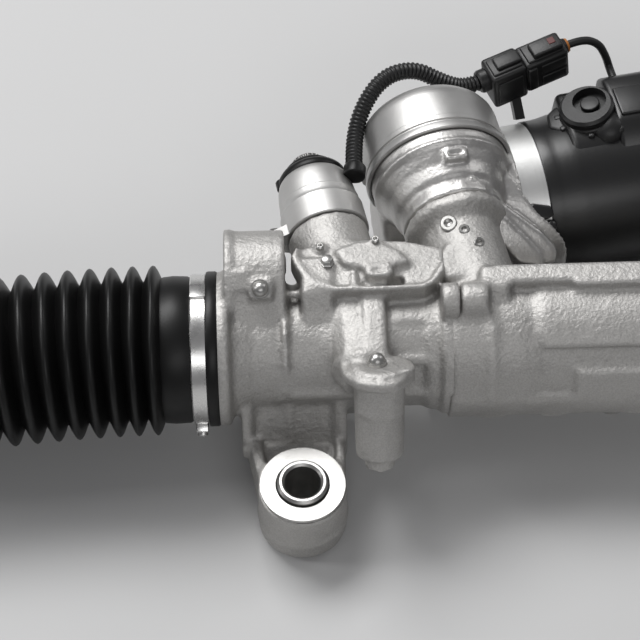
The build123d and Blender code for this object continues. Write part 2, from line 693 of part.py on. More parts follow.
def assist_pinion():
    shaft = turned(ASSIST, [
        (LOWER_BEARING_STATION, JOURNAL_RADIUS),
        (100, JOURNAL_RADIUS),
        (101, JOURNAL_RADIUS - 1),
    ])
    shaft += rod(ASSIST, UPPER_BEARING_STATION + BALL_BEARING_WIDTH, WHEEL_STATION - 8, 8.5)
    return shaft + pinion_teeth(ASSIST_STATION)


def worm_section():
    # Two thread starts, each as wide round the axis as its straight flanks make it
    lead = WORM_STARTS * pi * WORM_MODULE
    root = WORM_PITCH_RADIUS - 1.2 * WORM_MODULE
    tip = WORM_PITCH_RADIUS + 0.9 * WORM_MODULE
    thickness = pi * WORM_MODULE / 2 - WORM_BACKLASH
    flank = []
    for step in range(FLANK_STEPS):
        radius = root + (tip - root) * step / (FLANK_STEPS - 1)
        width = thickness - 2 * (radius - WORM_PITCH_RADIUS) * tan(radians(WORM_PRESSURE_ANGLE))
        flank.append((radius, pi * width / lead))
    points = []
    for start in range(WORM_STARTS):
        centre = 2 * pi * start / WORM_STARTS
        for radius, angle in flank:
            points.append((radius * cos(centre - angle), radius * sin(centre - angle)))
        for radius, angle in reversed(flank):
            points.append((radius * cos(centre + angle), radius * sin(centre + angle)))
    return make_face(Polyline(*points, close=True))


def worm_shaft():
    lead = WORM_STARTS * pi * WORM_MODULE
    turns = WORM_LENGTH / lead
    thread = Solid.extrude_linear_with_rotation(
        (Rot(0, 0, -180 * turns) * worm_section()).face(), (0, 0, 0), (0, 0, WORM_LENGTH), 360 * turns)
    shaft = turned(WORM, [
        (-WORM_LENGTH / 2 - 7, 4),
        (-WORM_LENGTH / 2, 4),
        (-WORM_LENGTH / 2, 4.6),
        (WORM_LENGTH / 2, 4.6),
        (WORM_LENGTH / 2, 4),
        (MOTOR_END - 12, 4),
    ])
    return shaft + WORM * Pos(0, 0, -WORM_LENGTH / 2) * thread


def worm_bearings():
    rings = []
    for start in (-WORM_LENGTH / 2 - 6.5, WORM_LENGTH / 2 + 0.5):
        rings.append(rod(WORM, start, start + 6, 6, 4 + RUNNING_GAP))
        rings.append(rod(WORM, start, start + 6, WORM_BEARING_RADIUS, 6 + PART_GAP / 2))
    rings.append(rod(WORM, MOTOR_END - 18, MOTOR_END - 12.5, 9, 4 + RUNNING_GAP))
    return Compound(children=rings)


def drum_screw_places(station):
    seats = [Rot(0, 0, turn) * Pos(DRUM_SCREW_CIRCLE, 0, 0) for turn in DRUM_SCREW_TURNS]
    return [ASSIST * Pos(0, 0, station) * seat for seat in seats]


def drum_ears(start, end):
    ear = make_hull((Pos(DRUM_SCREW_CIRCLE, 0) * Circle(4.5) + Circle(12)).edges())
    ring = Circle(22)
    for turn in DRUM_SCREW_TURNS:
        ring += Rot(0, 0, turn) * ear
    return ASSIST * Pos(0, 0, start) * extrude(ring, end - start)


def worm_barrel(gap):
    return turned(WORM, [
        (-27 - gap, 13 + gap), (-25, 15 + gap), (4, 15 + gap), (22, 33 + gap),
        (26, MOTOR_RADIUS + gap), (MOTOR_START, MOTOR_RADIUS + gap),
    ])


def worm_housing():
    # The lower drum round the worm wheel, the worm's barrel and the cone out to the motor
    body = turned(ASSIST, [
        (TOWER_SEAM, 22), (TOWER_SEAM + 4, 22), (TOWER_SEAM + 8, 24),
        (DRUM_SEAM - 6, DRUM_RADIUS - 1.4), (DRUM_SEAM, DRUM_RADIUS),
    ])
    body += worm_barrel(0)
    body += drum_ears(TOWER_SEAM, TOWER_SEAM + 6)
    body -= rod(ASSIST, DRUM_SEAM, DRUM_END + 1, DRUM_RADIUS + 0.8 + PART_GAP)
    body -= rod(ASSIST, TOWER_SEAM - 1, WHEEL_STATION - 8, 10)
    body -= rod(ASSIST, WHEEL_STATION - 11, DRUM_SEAM + 1, WHEEL_CHAMBER_RADIUS)
    body -= rod(WORM, -20, MOTOR_START + 1, WORM_BEARING_RADIUS)
    for ear in drum_screw_places(TOWER_SEAM - 1):
        body -= ear * extrude(Circle(1.8), 8)
    return body


def worm_cover():
    body = turned(ASSIST, [
        (DRUM_SEAM, DRUM_RADIUS + 0.8), (DRUM_SEAM + 3, DRUM_RADIUS + 0.8), (DRUM_SEAM + 4, DRUM_RADIUS - 1),
        (DRUM_END - 7, DRUM_RADIUS - 2), (DRUM_END - 2, DRUM_RADIUS - 5), (DRUM_END, DRUM_RADIUS - 9),
    ])
    body -= worm_barrel(PART_GAP) - rod(WORM, 20, MOTOR_START + 1, 2 * MOTOR_RADIUS)
    body -= rod(ASSIST, DRUM_SEAM - 1, DRUM_SEAM + 8, WHEEL_CHAMBER_RADIUS)
    body -= rod(ASSIST, DRUM_SEAM + 7, DRUM_SEAM + 8 + BALL_BEARING_WIDTH, BALL_BEARING_RADIUS)
    return body - rod(ASSIST, DRUM_SEAM + 15, DRUM_END - 7, 8)


def motor_bell():
    end = MOTOR_START + BELL_LENGTH
    body = rod(WORM, MOTOR_START, end, MOTOR_RADIUS)
    body -= rod(WORM, MOTOR_START + 3, end + 1, MOTOR_RADIUS - MOTOR_WALL)
    return body - rod(WORM, MOTOR_START - 1, MOTOR_START + 4, 5.5)


def motor_cover():
    start = MOTOR_START + BELL_LENGTH
    body = turned(WORM, [(start, MOTOR_RADIUS), (MOTOR_END - 5, MOTOR_RADIUS), (MOTOR_END, MOTOR_RADIUS - 5)])
    block = RectangleRounded(34, 44, 4)
    body += WORM * Pos(27, -10, 68) * extrude(block, 36)
    body -= rod(WORM, start - 1, MOTOR_END - 19, MOTOR_RADIUS - MOTOR_WALL)
    return body - rod(WORM, MOTOR_END - 20, MOTOR_END - 11, 9)


def motor_stator():
    start = MOTOR_START + BELL_LENGTH + 6
    return rod(WORM, start, MOTOR_END - 32, MOTOR_RADIUS - MOTOR_WALL, 18)


def motor_rotor():
    start = MOTOR_START + BELL_LENGTH + 9
    return rod(WORM, start, MOTOR_END - 34, 17.2, 4)


def ecu_socket():
    # An open-mouthed plug shroud on the motor's control box
    frame = WORM * Pos(44, -10, 86) * Rot(0, 90, 0)
    shroud = extrude(RectangleRounded(28, 20, 3), 12) - Pos(0, 0, 2) * extrude(RectangleRounded(24, 16, 2), 12)
    blades = [Pos(x, 0, 2) * Box(1, 6, 6, align=(Align.CENTER, Align.CENTER, Align.MIN)) for x in (-9, 9)]
    return frame * (shroud + blades)


def gland_boss():
    start = Vector(*CONDUIT_ROUTE[0])
    return rod(Plane(origin=start - Vector(0, 14, 0), z_dir=(0, 1, 0)), 0, 14, CONDUIT_DIAMETER / 2 + 1.8)


def connector_frame():
    return Plane(origin=CONDUIT_ROUTE[-1], x_dir=Vector(0, 0, 1).cross(Vector(*CONNECTOR_AXIS)), z_dir=CONNECTOR_AXIS)


def connector_plug():
    frame = connector_frame()
    body = frame * extrude(RectangleRounded(14, 11, 2), PLUG_LENGTH)
    body += frame * Pos(0, 6.5, 3) * extrude(Rectangle(6, 2.4), PLUG_LENGTH - 5)
    return body


def connector_socket():
    frame = connector_frame() * Pos(0, 0, PLUG_LENGTH)
    body = frame * extrude(RectangleRounded(17.5, 14, 2.5), SOCKET_LENGTH)
    return fillet(body.edges().group_by(Axis.X)[-1], 1.2)


def corner_radii(route):
    radii = []
    for before, corner, after in zip(route, route[1:], route[2:]):
        first = corner - before
        second = after - corner
        turn = radians(first.get_angle(second))
        radii.append(0.45 * min(first.length, second.length) / tan(turn / 2))
    return radii


def cord_tube(route, diameter):
    points = [Vector(*point) for point in route]
    radii = corner_radii(points)
    path = FilletPolyline(*points, radius=radii)
    start = Plane(origin=points[0], z_dir=points[1] - points[0])
    tube = sweep(start * Circle(diameter / 2), path=path)
    expected = pi * diameter**2 / 4 * path.length
    print("cord length", round(path.length, 1), "radii", [round(radius, 1) for radius in radii],
          "volume share", round(tube.volume / expected, 4))
    return tube


def connector_clip():
    # A folded bracket standing on the motor bell under the connector
    stand = Polyline((24, -20), (34, -38), (36, -42), (34, -44), (31.5, -42), (20, -22), close=True)
    bracket = WORM * Pos(0, 0, MOTOR_START + 6) * extrude(make_face(stand), 10)
    bracket -= rod(WORM, MOTOR_START, MOTOR_START + BELL_LENGTH, MOTOR_RADIUS)
    return bracket - connector_plug() - connector_socket()


# Rack ends and tie rods ----------------------------------------------------------------------
def inner_socket():
    body = turned(RACK, [
        (INNER_BALL_STATION - 5, SOCKET_RADIUS - 3), (INNER_BALL_STATION - 1, SOCKET_RADIUS),
        (INNER_BALL_STATION + SOCKET_BACK - 3, SOCKET_RADIUS), (INNER_BALL_STATION + SOCKET_BACK, SOCKET_RADIUS - 2),
    ])
    back = INNER_BALL_STATION + SOCKET_BACK
    body += rod(RACK, back, back + SOCKET_STUD_LENGTH, SOCKET_STUD_RADIUS)
    return body - LEFT_ROD * Sphere(INNER_BALL_RADIUS + RUNNING_GAP)


def tie_rod():
    tip = TIE_ROD_LENGTH - 2 * TIE_EYE_RADIUS
    thread = tip - TIE_THREAD_LENGTH
    shank = turned(LEFT_ROD, [
        (8, 6.5), (24, 6.5), (30, TIE_ROD_RADIUS), (thread - 3, TIE_ROD_RADIUS), (thread, TIE_THREAD_RADIUS),
        (tip, TIE_THREAD_RADIUS),
    ])
    return shank + LEFT_ROD * Sphere(INNER_BALL_RADIUS)


def stud_frame():
    # The outer ball stud stands up from the rod's end, square to the rod
    up = LEFT_ROD.y_dir * -1
    origin = (LEFT_ROD * Pos(0, 0, TIE_ROD_LENGTH)).position
    return Plane(origin=origin, x_dir=LEFT_ROD.z_dir, z_dir=up)


def tie_rod_end():
    frame = stud_frame()
    start = TIE_ROD_LENGTH - TIE_END_LENGTH
    neck = TIE_ROD_LENGTH - 1.5 * TIE_EYE_RADIUS
    body = turned(LEFT_ROD, [(start, 9), (start + 2, 11), (neck - 8, 11), (neck, 9), (TIE_ROD_LENGTH - 12, 8)])
    body += turned(frame, [(-15, 12), (-13, 15), (9, TIE_EYE_RADIUS), (11, TIE_EYE_RADIUS - 1.5)])
    body -= frame * Sphere(STUD_BALL_RADIUS + RUNNING_GAP)
    body -= rod(frame, 0, 12, 10.2)
    return body - rod(LEFT_ROD, start - 1, TIE_ROD_LENGTH - 2 * TIE_EYE_RADIUS, TIE_THREAD_RADIUS)


def jam_nut():
    place = Pos(0, 0, TIE_ROD_LENGTH - TIE_END_LENGTH - JAM_NUT_HEIGHT)
    return LEFT_ROD * place * hex_nut(22, JAM_NUT_HEIGHT, TIE_THREAD_RADIUS)


def ball_stud():
    frame = stud_frame()
    stud = turned(frame, [(8, STUD_RADIUS), (18, STUD_RADIUS), (19, 7), (36, 5.8), (36, 5), (53, 5), (54, 4.2)])
    return stud + frame * Sphere(STUD_BALL_RADIUS)


def castle_nut():
    nut = hex_nut(17, 8, 5)
    crown = extrude(Circle(7) - Circle(5), 4)
    for turn in (0, 60, 120):
        crown -= Rot(0, 0, turn) * Pos(0, 0, 3) * Box(16, 2.6, 3)
    return stud_frame() * Pos(0, 0, 37) * (nut + Pos(0, 0, 8) * crown)


def stud_boot():
    outer = turned(stud_frame(), [(11.4, 15), (14, 15.6), (18, 12), (21, 11.4), (23, 9.4)])
    return outer - turned(stud_frame(), [(11, 13), (14, 13.4), (18, 10), (20, 9.6), (21, 7.5), (24, 7.5)])


# Boots ----------------------------------------------------------------------------------------
def boot_line(share):
    # The boot bends along one smooth curve that turns about the inner ball
    start = Vector(BOOT_START, MOUNT_SETBACK, RACK_HEIGHT)
    ball = LEFT_ROD.origin
    neck = (LEFT_ROD * Pos(0, 0, BOOT_NECK)).position
    point = start * (1 - share) ** 2 + ball * (2 * share * (1 - share)) + neck * share**2
    heading = (ball - start) * (2 * (1 - share)) + (neck - ball) * (2 * share)
    return Plane(origin=point, z_dir=heading)


def bellows(crest_radius, valley_radius, start_radius, neck_radius):
    # Crests and valleys by turns, the last of them shrinking towards the rod
    halves = 2 * BOOT_CONVOLUTIONS
    rings = [boot_line(0) * Circle(start_radius)]
    for half in range(1, halves):
        count = half / halves
        shrink = max(0.0, (half - halves + 2 * BOOT_TAPERED) / (2 * BOOT_TAPERED)) ** 1.5
        full = crest_radius if half % 2 else valley_radius
        slim = neck_radius + (5 if half % 2 else 0)
        radius = full + (slim - full) * shrink
        rings.append(boot_line(count * (0.8 + 0.2 * count)) * Circle(radius))
    rings.append(boot_line(1) * Circle(neck_radius))
    return Solid.make_loft([ring.wire() for ring in rings], ruled=True)


def boot():
    neck_bore = TIE_ROD_RADIUS + 0.3
    outer = bellows(BOOT_RADIUS, BOOT_VALLEY_RADIUS, CLAMP_RADIUS, neck_bore + 2)
    inner = bellows(BOOT_RADIUS - BOOT_WALL, BOOT_VALLEY_RADIUS - BOOT_WALL, SPIGOT_RADIUS, neck_bore)
    flange = LEFT_END + SPIGOT_LENGTH
    cuff = turned(RACK, [
        (BOOT_START, CLAMP_RADIUS), (flange - 12, CLAMP_RADIUS), (flange - 12, CLAMP_RADIUS - 1.4),
        (flange - 3.6, CLAMP_RADIUS - 1.4), (flange - 3.6, CLAMP_RADIUS + 0.6), (flange, CLAMP_RADIUS + 0.6),
    ], bore=SPIGOT_RADIUS)
    neck = rod(LEFT_ROD, BOOT_NECK, BOOT_NECK + 9, neck_bore + 2, neck_bore)
    return (outer - inner) + cuff + neck


def boot_clamp():
    flange = LEFT_END + SPIGOT_LENGTH
    band = rod(RACK, flange - 11.9, flange - 3.7, CLAMP_RADIUS, CLAMP_RADIUS - 1.4)
    ear = RACK * Pos(-8, -CLAMP_RADIUS, flange - 10) * Box(5, 5, 4)
    return band + (ear - rod(RACK, flange - 14, flange - 2, CLAMP_RADIUS - 1.4))


def boot_clip():
    outer = TIE_ROD_RADIUS + 0.3 + 2 + 0.3
    return rod(LEFT_ROD, BOOT_NECK + 3, BOOT_NECK + 7, outer + 1.2, outer)


def small_screws():
    screws = []
    for turn in SENSOR_SCREW_TURNS:
        seat = INPUT * Pos(0, 0, SENSOR_START) * Rot(0, 0, turn) * Pos(SENSOR_SCREW_CIRCLE, 0, 5)
        screws.append(seat * cap_screw(1.8 - RUNNING_GAP, 5))
    for seat in drum_screw_places(TOWER_SEAM + 6):
        screws.append(seat * cap_screw(1.8 - RUNNING_GAP, 10))
    return Compound(children=screws)


def write(name, *shapes):
    # One STEP file per node; a node of several separate pieces is written as a group
    solids = [solid for shape in shapes for solid in shape.solids()]
    node = solids[0] if len(solids) == 1 else Compound(children=solids)
    export_step(node, f"parts/{name}.step")
    print(name, len(solids), round(sum(solid.volume for solid in solids)))


def write_pair(name, shape):
    write(f"{name}_left", shape)
    write(f"{name}_right", mirrored(shape))


os.makedirs("parts", exist_ok=True)
write("gear_housing", gear_housing())
write("rack_tube", rack_tube())
write("housing_joint_bolts", joint_bolts())
write("mount_shell_left", mount_shell())
write("mount_shell_right", Pos(MOUNT_SPAN, 0, 0) * mount_shell())
write("mount_rubbers", mount_rubber(), Pos(MOUNT_SPAN, 0, 0) * mount_rubber())
write("mount_sleeve_left", mount_sleeve())
write("mount_sleeve_right", Pos(MOUNT_SPAN, 0, 0) * mount_sleeve())
write("cover_plugs", cover_plugs())
write("rack_bush", rack_bush())
guides, springs, plugs = zip(guide_parts(INPUT_STATION), guide_parts(ASSIST_STATION))
write("rack_guides", *guides)
write("guide_springs", *springs[0], *springs[1])
write("guide_plugs", *plugs)
write("pinion_ball_bearings", *ball_bearing(INPUT, UPPER_BEARING_STATION, JOURNAL_RADIUS),
      *ball_bearing(ASSIST, UPPER_BEARING_STATION, JOURNAL_RADIUS),
      *ball_bearing(ASSIST, DRUM_SEAM + 8, JOURNAL_RADIUS))
write("pinion_needle_bearings", needle_bearing(INPUT), needle_bearing(ASSIST))
write("sensor_housing", sensor_housing())
write("sensor_coil", sensor_coil())
write("sensor_bush", sensor_bush())
write("dust_sleeve", dust_sleeve())
write("small_screws", small_screws())
write("worm_housing", worm_housing())
write("worm_cover", worm_cover())
write("worm_bearings", worm_bearings())
write("motor_bell", motor_bell())
write("motor_cover", motor_cover())
write("motor_stator", motor_stator())
write("ecu_socket", ecu_socket())
write("harness_conduit", cord_tube(CONDUIT_ROUTE, CONDUIT_DIAMETER))
write("harness_lead", cord_tube(LEAD_ROUTE, LEAD_DIAMETER))
write("connector_plug", connector_plug())
write("connector_socket", connector_socket())
write("connector_clip", connector_clip())
write("rack_bar", rack_bar())
write("input_pinion", input_pinion())
write("torsion_bar", torsion_bar())
write("input_shaft", input_shaft())
write("assist_pinion", assist_pinion())
write("worm_wheel", worm_wheel_pieces())
write("worm_shaft", worm_shaft())
write("motor_rotor", motor_rotor())
write_pair("inner_socket", inner_socket())
write_pair("tie_rod", tie_rod())
write_pair("jam_nut", jam_nut())
write_pair("tie_rod_end", tie_rod_end())
write_pair("ball_stud", ball_stud())
write_pair("castle_nut", castle_nut())
write_pair("stud_boot", stud_boot())
write_pair("boot", boot())
write_pair("boot_clamp", boot_clamp())
write_pair("boot_clip", boot_clip())
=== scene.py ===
import json
import math
import bmesh
import bpy
from mathutils import Matrix, Vector
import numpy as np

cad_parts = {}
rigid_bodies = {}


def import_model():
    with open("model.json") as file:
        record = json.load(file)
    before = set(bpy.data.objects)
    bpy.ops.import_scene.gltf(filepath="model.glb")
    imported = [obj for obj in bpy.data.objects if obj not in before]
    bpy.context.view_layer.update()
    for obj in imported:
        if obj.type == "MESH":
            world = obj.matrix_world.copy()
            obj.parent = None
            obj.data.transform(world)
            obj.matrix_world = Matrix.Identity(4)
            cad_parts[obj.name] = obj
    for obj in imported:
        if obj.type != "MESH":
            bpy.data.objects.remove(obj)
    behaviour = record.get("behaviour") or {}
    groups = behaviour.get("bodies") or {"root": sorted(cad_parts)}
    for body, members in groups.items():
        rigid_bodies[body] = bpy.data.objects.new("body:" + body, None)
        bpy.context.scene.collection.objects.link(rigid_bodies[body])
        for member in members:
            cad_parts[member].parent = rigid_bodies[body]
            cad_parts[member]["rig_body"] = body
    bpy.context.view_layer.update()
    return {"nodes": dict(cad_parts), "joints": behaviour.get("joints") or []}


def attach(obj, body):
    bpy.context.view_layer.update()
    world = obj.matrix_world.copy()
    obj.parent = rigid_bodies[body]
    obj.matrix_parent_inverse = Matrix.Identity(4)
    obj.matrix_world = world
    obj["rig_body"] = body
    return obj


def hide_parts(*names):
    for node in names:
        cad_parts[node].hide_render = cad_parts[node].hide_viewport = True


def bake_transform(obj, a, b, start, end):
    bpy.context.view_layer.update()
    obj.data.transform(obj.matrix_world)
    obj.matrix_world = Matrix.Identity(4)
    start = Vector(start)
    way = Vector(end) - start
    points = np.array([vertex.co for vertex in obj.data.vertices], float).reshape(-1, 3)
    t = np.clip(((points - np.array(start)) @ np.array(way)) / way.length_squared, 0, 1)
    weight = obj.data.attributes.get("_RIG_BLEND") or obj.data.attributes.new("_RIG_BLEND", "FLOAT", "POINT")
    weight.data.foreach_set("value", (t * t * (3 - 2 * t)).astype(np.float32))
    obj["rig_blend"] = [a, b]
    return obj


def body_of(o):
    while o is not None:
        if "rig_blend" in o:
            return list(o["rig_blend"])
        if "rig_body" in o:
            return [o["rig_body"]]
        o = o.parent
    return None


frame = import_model()
scene = bpy.context.scene
scene.view_settings.view_transform = "Standard"
print("frame loaded")

joints = {joint["name"]: joint for joint in frame["joints"]}


def jointPlace(name):
    return Vector(joints[name]["pos_m"])


def jointAxis(name):
    return Vector(joints[name]["axis"]).normalized()


up = Vector((0, 0, 1))
rackAxis = Vector((1, 0, 0))
shaftAxis = jointAxis("pinion_spin")  # both pinions, away from the rack
motorAxis = jointAxis("worm_spin")
leftBall = jointPlace("left_rod_swing")
rightBall = jointPlace("right_rod_swing")
rackLine = Vector((0, leftBall.y, leftBall.z))


def frameAt(origin, along, side):
    # a place whose z runs along one direction and whose x points to one side
    zAxis = Vector(along).normalized()
    xAxis = (Vector(side) - zAxis * Vector(side).dot(zAxis)).normalized()
    yAxis = zAxis.cross(xAxis)
    turn = Matrix((xAxis, yAxis, zAxis)).transposed().to_4x4()
    return Matrix.Translation(origin) @ turn


sensorFrame = frameAt(jointPlace("pinion_spin") - shaftAxis * 0.04, shaftAxis, motorAxis)
drumFrame = frameAt(jointPlace("assist_spin") - shaftAxis * 0.04, shaftAxis, motorAxis)
motorFrame = frameAt(jointPlace("worm_spin"), motorAxis, up)
sectionFrame = frameAt(rackLine, rackAxis, Vector((0, 1, 0)))  # x is back, y is up, z runs along the rack
# x is up and y runs along the motor
slantFrame = motorFrame @ Matrix(((0, 0, 1, 0), (1, 0, 0, 0), (0, 1, 0, 0), (0, 0, 0, 1)))
ground = Matrix.Identity(4)
facing = Vector((0, -0.58, 0.814))  # square to the top front slopes

# Camera
view = dict(place=(-0.00919, -0.4645, 0.79754), tilt=35.5, heading=-2.0, lens=123.75)
cameraData = bpy.data.cameras.new("viewCamera")
cameraData.lens = view["lens"]
cameraData.sensor_width = 36
cameraData.clip_end = 20
camera = bpy.data.objects.new("viewCamera", cameraData)
camera.location = view["place"]
camera.rotation_euler = (math.radians(view["tilt"]), 0, math.radians(view["heading"]))
scene.collection.objects.link(camera)
scene.camera = camera
print("camera set")


# Shader helpers
class Wire:
    # a shader value that adds and multiplies like a number
    def __init__(self, board, socket):
        self.board = board
        self.socket = socket

    def join(self, operation, first, second):
        return self.board.node("ShaderNodeMath", {"operation": operation}, {0: first, 1: second})

    def __add__(self, other):
        return self.join("ADD", self, other)

    def __radd__(self, other):
        return self.join("ADD", other, self)

    def __sub__(self, other):
        return self.join("SUBTRACT", self, other)

    def __rsub__(self, other):
        return self.join("SUBTRACT", other, self)

    def __mul__(self, other):
        return self.join("MULTIPLY", self, other)

    def __rmul__(self, other):
        return self.join("MULTIPLY", other, self)

    def __pow__(self, other):
        return self.join("POWER", self, other)


class Board:
    # one material and the nodes on it
    def __init__(self, name):
        self.material = bpy.data.materials.new(name)
        self.material.use_nodes = True
        self.tree = self.material.node_tree
        self.tree.nodes.clear()

    def node(self, kind, settings=None, sockets=None, out=0):
        made = self.tree.nodes.new(kind)
        for name, value in (settings or {}).items():
            if name == "stops":
                ramp = made.color_ramp.elements
                for spare in range(len(value) - 2):
                    ramp.new(0.5)
                for stop, (place, shade) in zip(ramp, value):
                    stop.position = place
                    stop.color = (shade, shade, shade, 1)
            else:
                setattr(made, name, value)
        for name, value in (sockets or {}).items():
            if isinstance(value, Wire):
                self.tree.links.new(value.socket, made.inputs[name])
            else:
                made.inputs[name].default_value = value
        return Wire(self, made.outputs[out])

    def place(self, turned=None):
        # the piece's own coordinates, or those of a frame that a pattern is turned about
        own = self.node("ShaderNodeTexCoord", out="Object")
        if turned is None:
            return own
        back = turned.inverted()
        return self.node("ShaderNodeMapping", {"vector_type": "POINT"}, {
            "Vector": own, "Location": back.translation, "Rotation": back.to_euler()})

    def noise(self, where, scale, detail=2.0, roughness=0.5):
        return self.node("ShaderNodeTexNoise", {"noise_dimensions": "3D"}, {
            "Vector": where, "Scale": scale, "Detail": detail, "Roughness": roughness}, "Fac")

    def ramp(self, value, *stops):
        return self.node("ShaderNodeValToRGB", {"stops": stops}, {"Fac": value}, "Color")

    def mixed(self, share, first, second):
        ends = [(*colour, 1) if isinstance(colour, tuple) else colour for colour in (first, second)]
        return self.node("ShaderNodeMix", {"data_type": "RGBA"}, {0: share, 6: ends[0], 7: ends[1]}, 2)

    def bump(self, height, distance, strength=1.0):
        return self.node("ShaderNodeBump", None, {"Height": height, "Distance": distance, "Strength": strength},
                         "Normal")

    def surface(self, **sockets):
        named = {name.replace("_", " "): value for name, value in sockets.items()}
        self.finish(self.node("ShaderNodeBsdfPrincipled", None, named, "BSDF"))
        return self.material

    def finish(self, shader):
        end = self.tree.nodes.new("ShaderNodeOutputMaterial")
        self.tree.links.new(shader.socket, end.inputs["Surface"])


def tint(tone, share, blue):
    return (tone * share, tone * share, tone * blue)


def castMetal(name, light=(0.64, 0.63, 0.615), dark=(0.30, 0.292, 0.28), rough=0.50, grain=0.00045):
    board = Board(name)
    where = board.place()
    sand = board.noise(where, 820, 3, 0.7)
    pits = board.node("ShaderNodeTexVoronoi", {"feature": "F1"}, {"Vector": where, "Scale": 620}, "Distance")
    cloud = board.noise(where, 48, 4, 0.62)
    stain = board.ramp(board.noise(where, 15, 3, 0.55), (0.40, 0.0), (0.68, 1.0))
    speckle = board.ramp(board.noise(where, 1500, 2, 0.6), (0.36, 0.0), (0.64, 1.0))
    # painted shade in crevices and hollows and a painted highlight on convex edges, read from the mesh's pointiness and
    # mixed into the colour
    edges = board.ramp(board.node("ShaderNodeNewGeometry", {}, {}, "Pointiness"), (0.42, 0.0), (0.57, 1.0))
    colour = board.mixed(0.34 * cloud + 0.22 * speckle + 0.08 * stain + 0.36 * edges, dark, light)
    height = sand * 0.8 + pits * 0.35 + board.noise(where, 210, 2, 0.5) * 1.3
    return board.surface(Base_Color=colour, Metallic=1.0, Roughness=rough + 0.14 * cloud + 0.06 * stain,
                         Normal=board.bump(height, grain, 0.75))


def turnedMetal(name, about, light=(0.66, 0.655, 0.645), dark=(0.46, 0.455, 0.445), rough=0.40, depth=0.00005):
    # fine circular tool marks round an axis, on the sides and on the faces
    board = Board(name)
    where = board.place(about)
    xPart, yPart, zPart = (board.node("ShaderNodeSeparateXYZ", None, {0: where}, part) for part in range(3))
    radius = (xPart * xPart + yPart * yPart) ** 0.5
    lines = board.node("ShaderNodeCombineXYZ", None, {0: radius, 1: zPart, 2: 0.0})
    marks = board.noise(lines, 2600, 3, 0.7)
    cloud = board.noise(where, 55, 3, 0.55)
    colour = board.mixed(cloud, dark, light)
    return board.surface(Base_Color=colour, Metallic=1.0, Roughness=rough + 0.14 * marks + 0.10 * cloud,
                         Normal=board.bump(marks, depth, 0.7))


def platedSteel(name, light=(0.58, 0.575, 0.56), dark=(0.36, 0.355, 0.345), rough=0.30):
    board = Board(name)
    where = board.place()
    cloud = board.noise(where, 140, 3, 0.6)
    scuff = board.noise(where, 900, 2, 0.5)
    return board.surface(Base_Color=board.mixed(cloud, dark, light), Metallic=1.0, Roughness=rough + 0.16 * cloud,
                         Normal=board.bump(scuff, 0.00003, 0.6))


def blackRubber(name, tone=0.0035, rough=0.36):
    board = Board(name)
    where = board.place()
    bloom = board.noise(where, 38, 4, 0.6)
    pores = board.noise(where, 1400, 2, 0.5)
    colour = board.mixed(bloom, tint(tone, 0.7, 0.72), tint(tone, 1.6, 1.62))
    return board.surface(Base_Color=colour, Roughness=rough + 0.10 * bloom, Specular_IOR_Level=0.3,
                         Normal=board.bump(pores, 0.00005, 0.5))


def mouldedPlastic(name, tone=0.007, rough=0.38, grain=0.00006):
    board = Board(name)
    where = board.place()
    cells = board.node("ShaderNodeTexVoronoi", {"feature": "F1"}, {"Vector": where, "Scale": 1300}, "Distance")
    cloud = board.noise(where, 60, 3, 0.5)
    colour = board.mixed(cloud, tint(tone, 0.75, 0.78), tint(tone, 1.4, 1.45))
    return board.surface(Base_Color=colour, Roughness=rough + 0.12 * cloud, Normal=board.bump(cells, grain, 0.5))


def satinPaint(name, tone=0.008, rough=0.30):
    board = Board(name)
    where = board.place()
    peel = board.noise(where, 520, 2, 0.4)
    cloud = board.noise(where, 30, 3, 0.5)
    colour = board.mixed(cloud, tint(tone, 0.8, 0.83), tint(tone, 1.3, 1.35))
    return board.surface(Base_Color=colour, Roughness=rough + 0.10 * cloud, Coat_Weight=0.15, Coat_Roughness=0.3,
                         Normal=board.bump(peel, 0.00006, 0.5))


def woundCopper(name):
    board = Board(name)
    where = board.place()
    strands = board.noise(where, 700, 2, 0.6)
    return board.surface(Base_Color=board.mixed(strands, (0.25, 0.10, 0.05), (0.70, 0.36, 0.20)), Metallic=1.0,
                         Roughness=0.35 + 0.2 * strands)


def softBronze(name):
    board = Board(name)
    cloud = board.noise(board.place(), 120, 3, 0.6)
    return board.surface(Base_Color=board.mixed(cloud, (0.42, 0.30, 0.15), (0.66, 0.50, 0.28)), Metallic=1.0,
                         Roughness=0.32 + 0.15 * cloud)


def tintedPlastic(name, shade):
    board = Board(name)
    cloud = board.noise(board.place(), 300, 2, 0.5)
    colour = board.mixed(cloud, tuple(part * 0.7 for part in shade), shade)
    return board.surface(Base_Color=colour, Roughness=0.45 + 0.1 * cloud)


def greyBackdrop(name, light=0.60, dark=0.56):
    board = Board(name)
    where = board.place()
    cloud = board.noise(where, 1.6, 2, 0.5)
    colour = board.mixed(cloud, (dark, dark, dark), (light, light, light))
    return board.surface(Base_Color=colour, Roughness=0.85, Specular_IOR_Level=0.15)


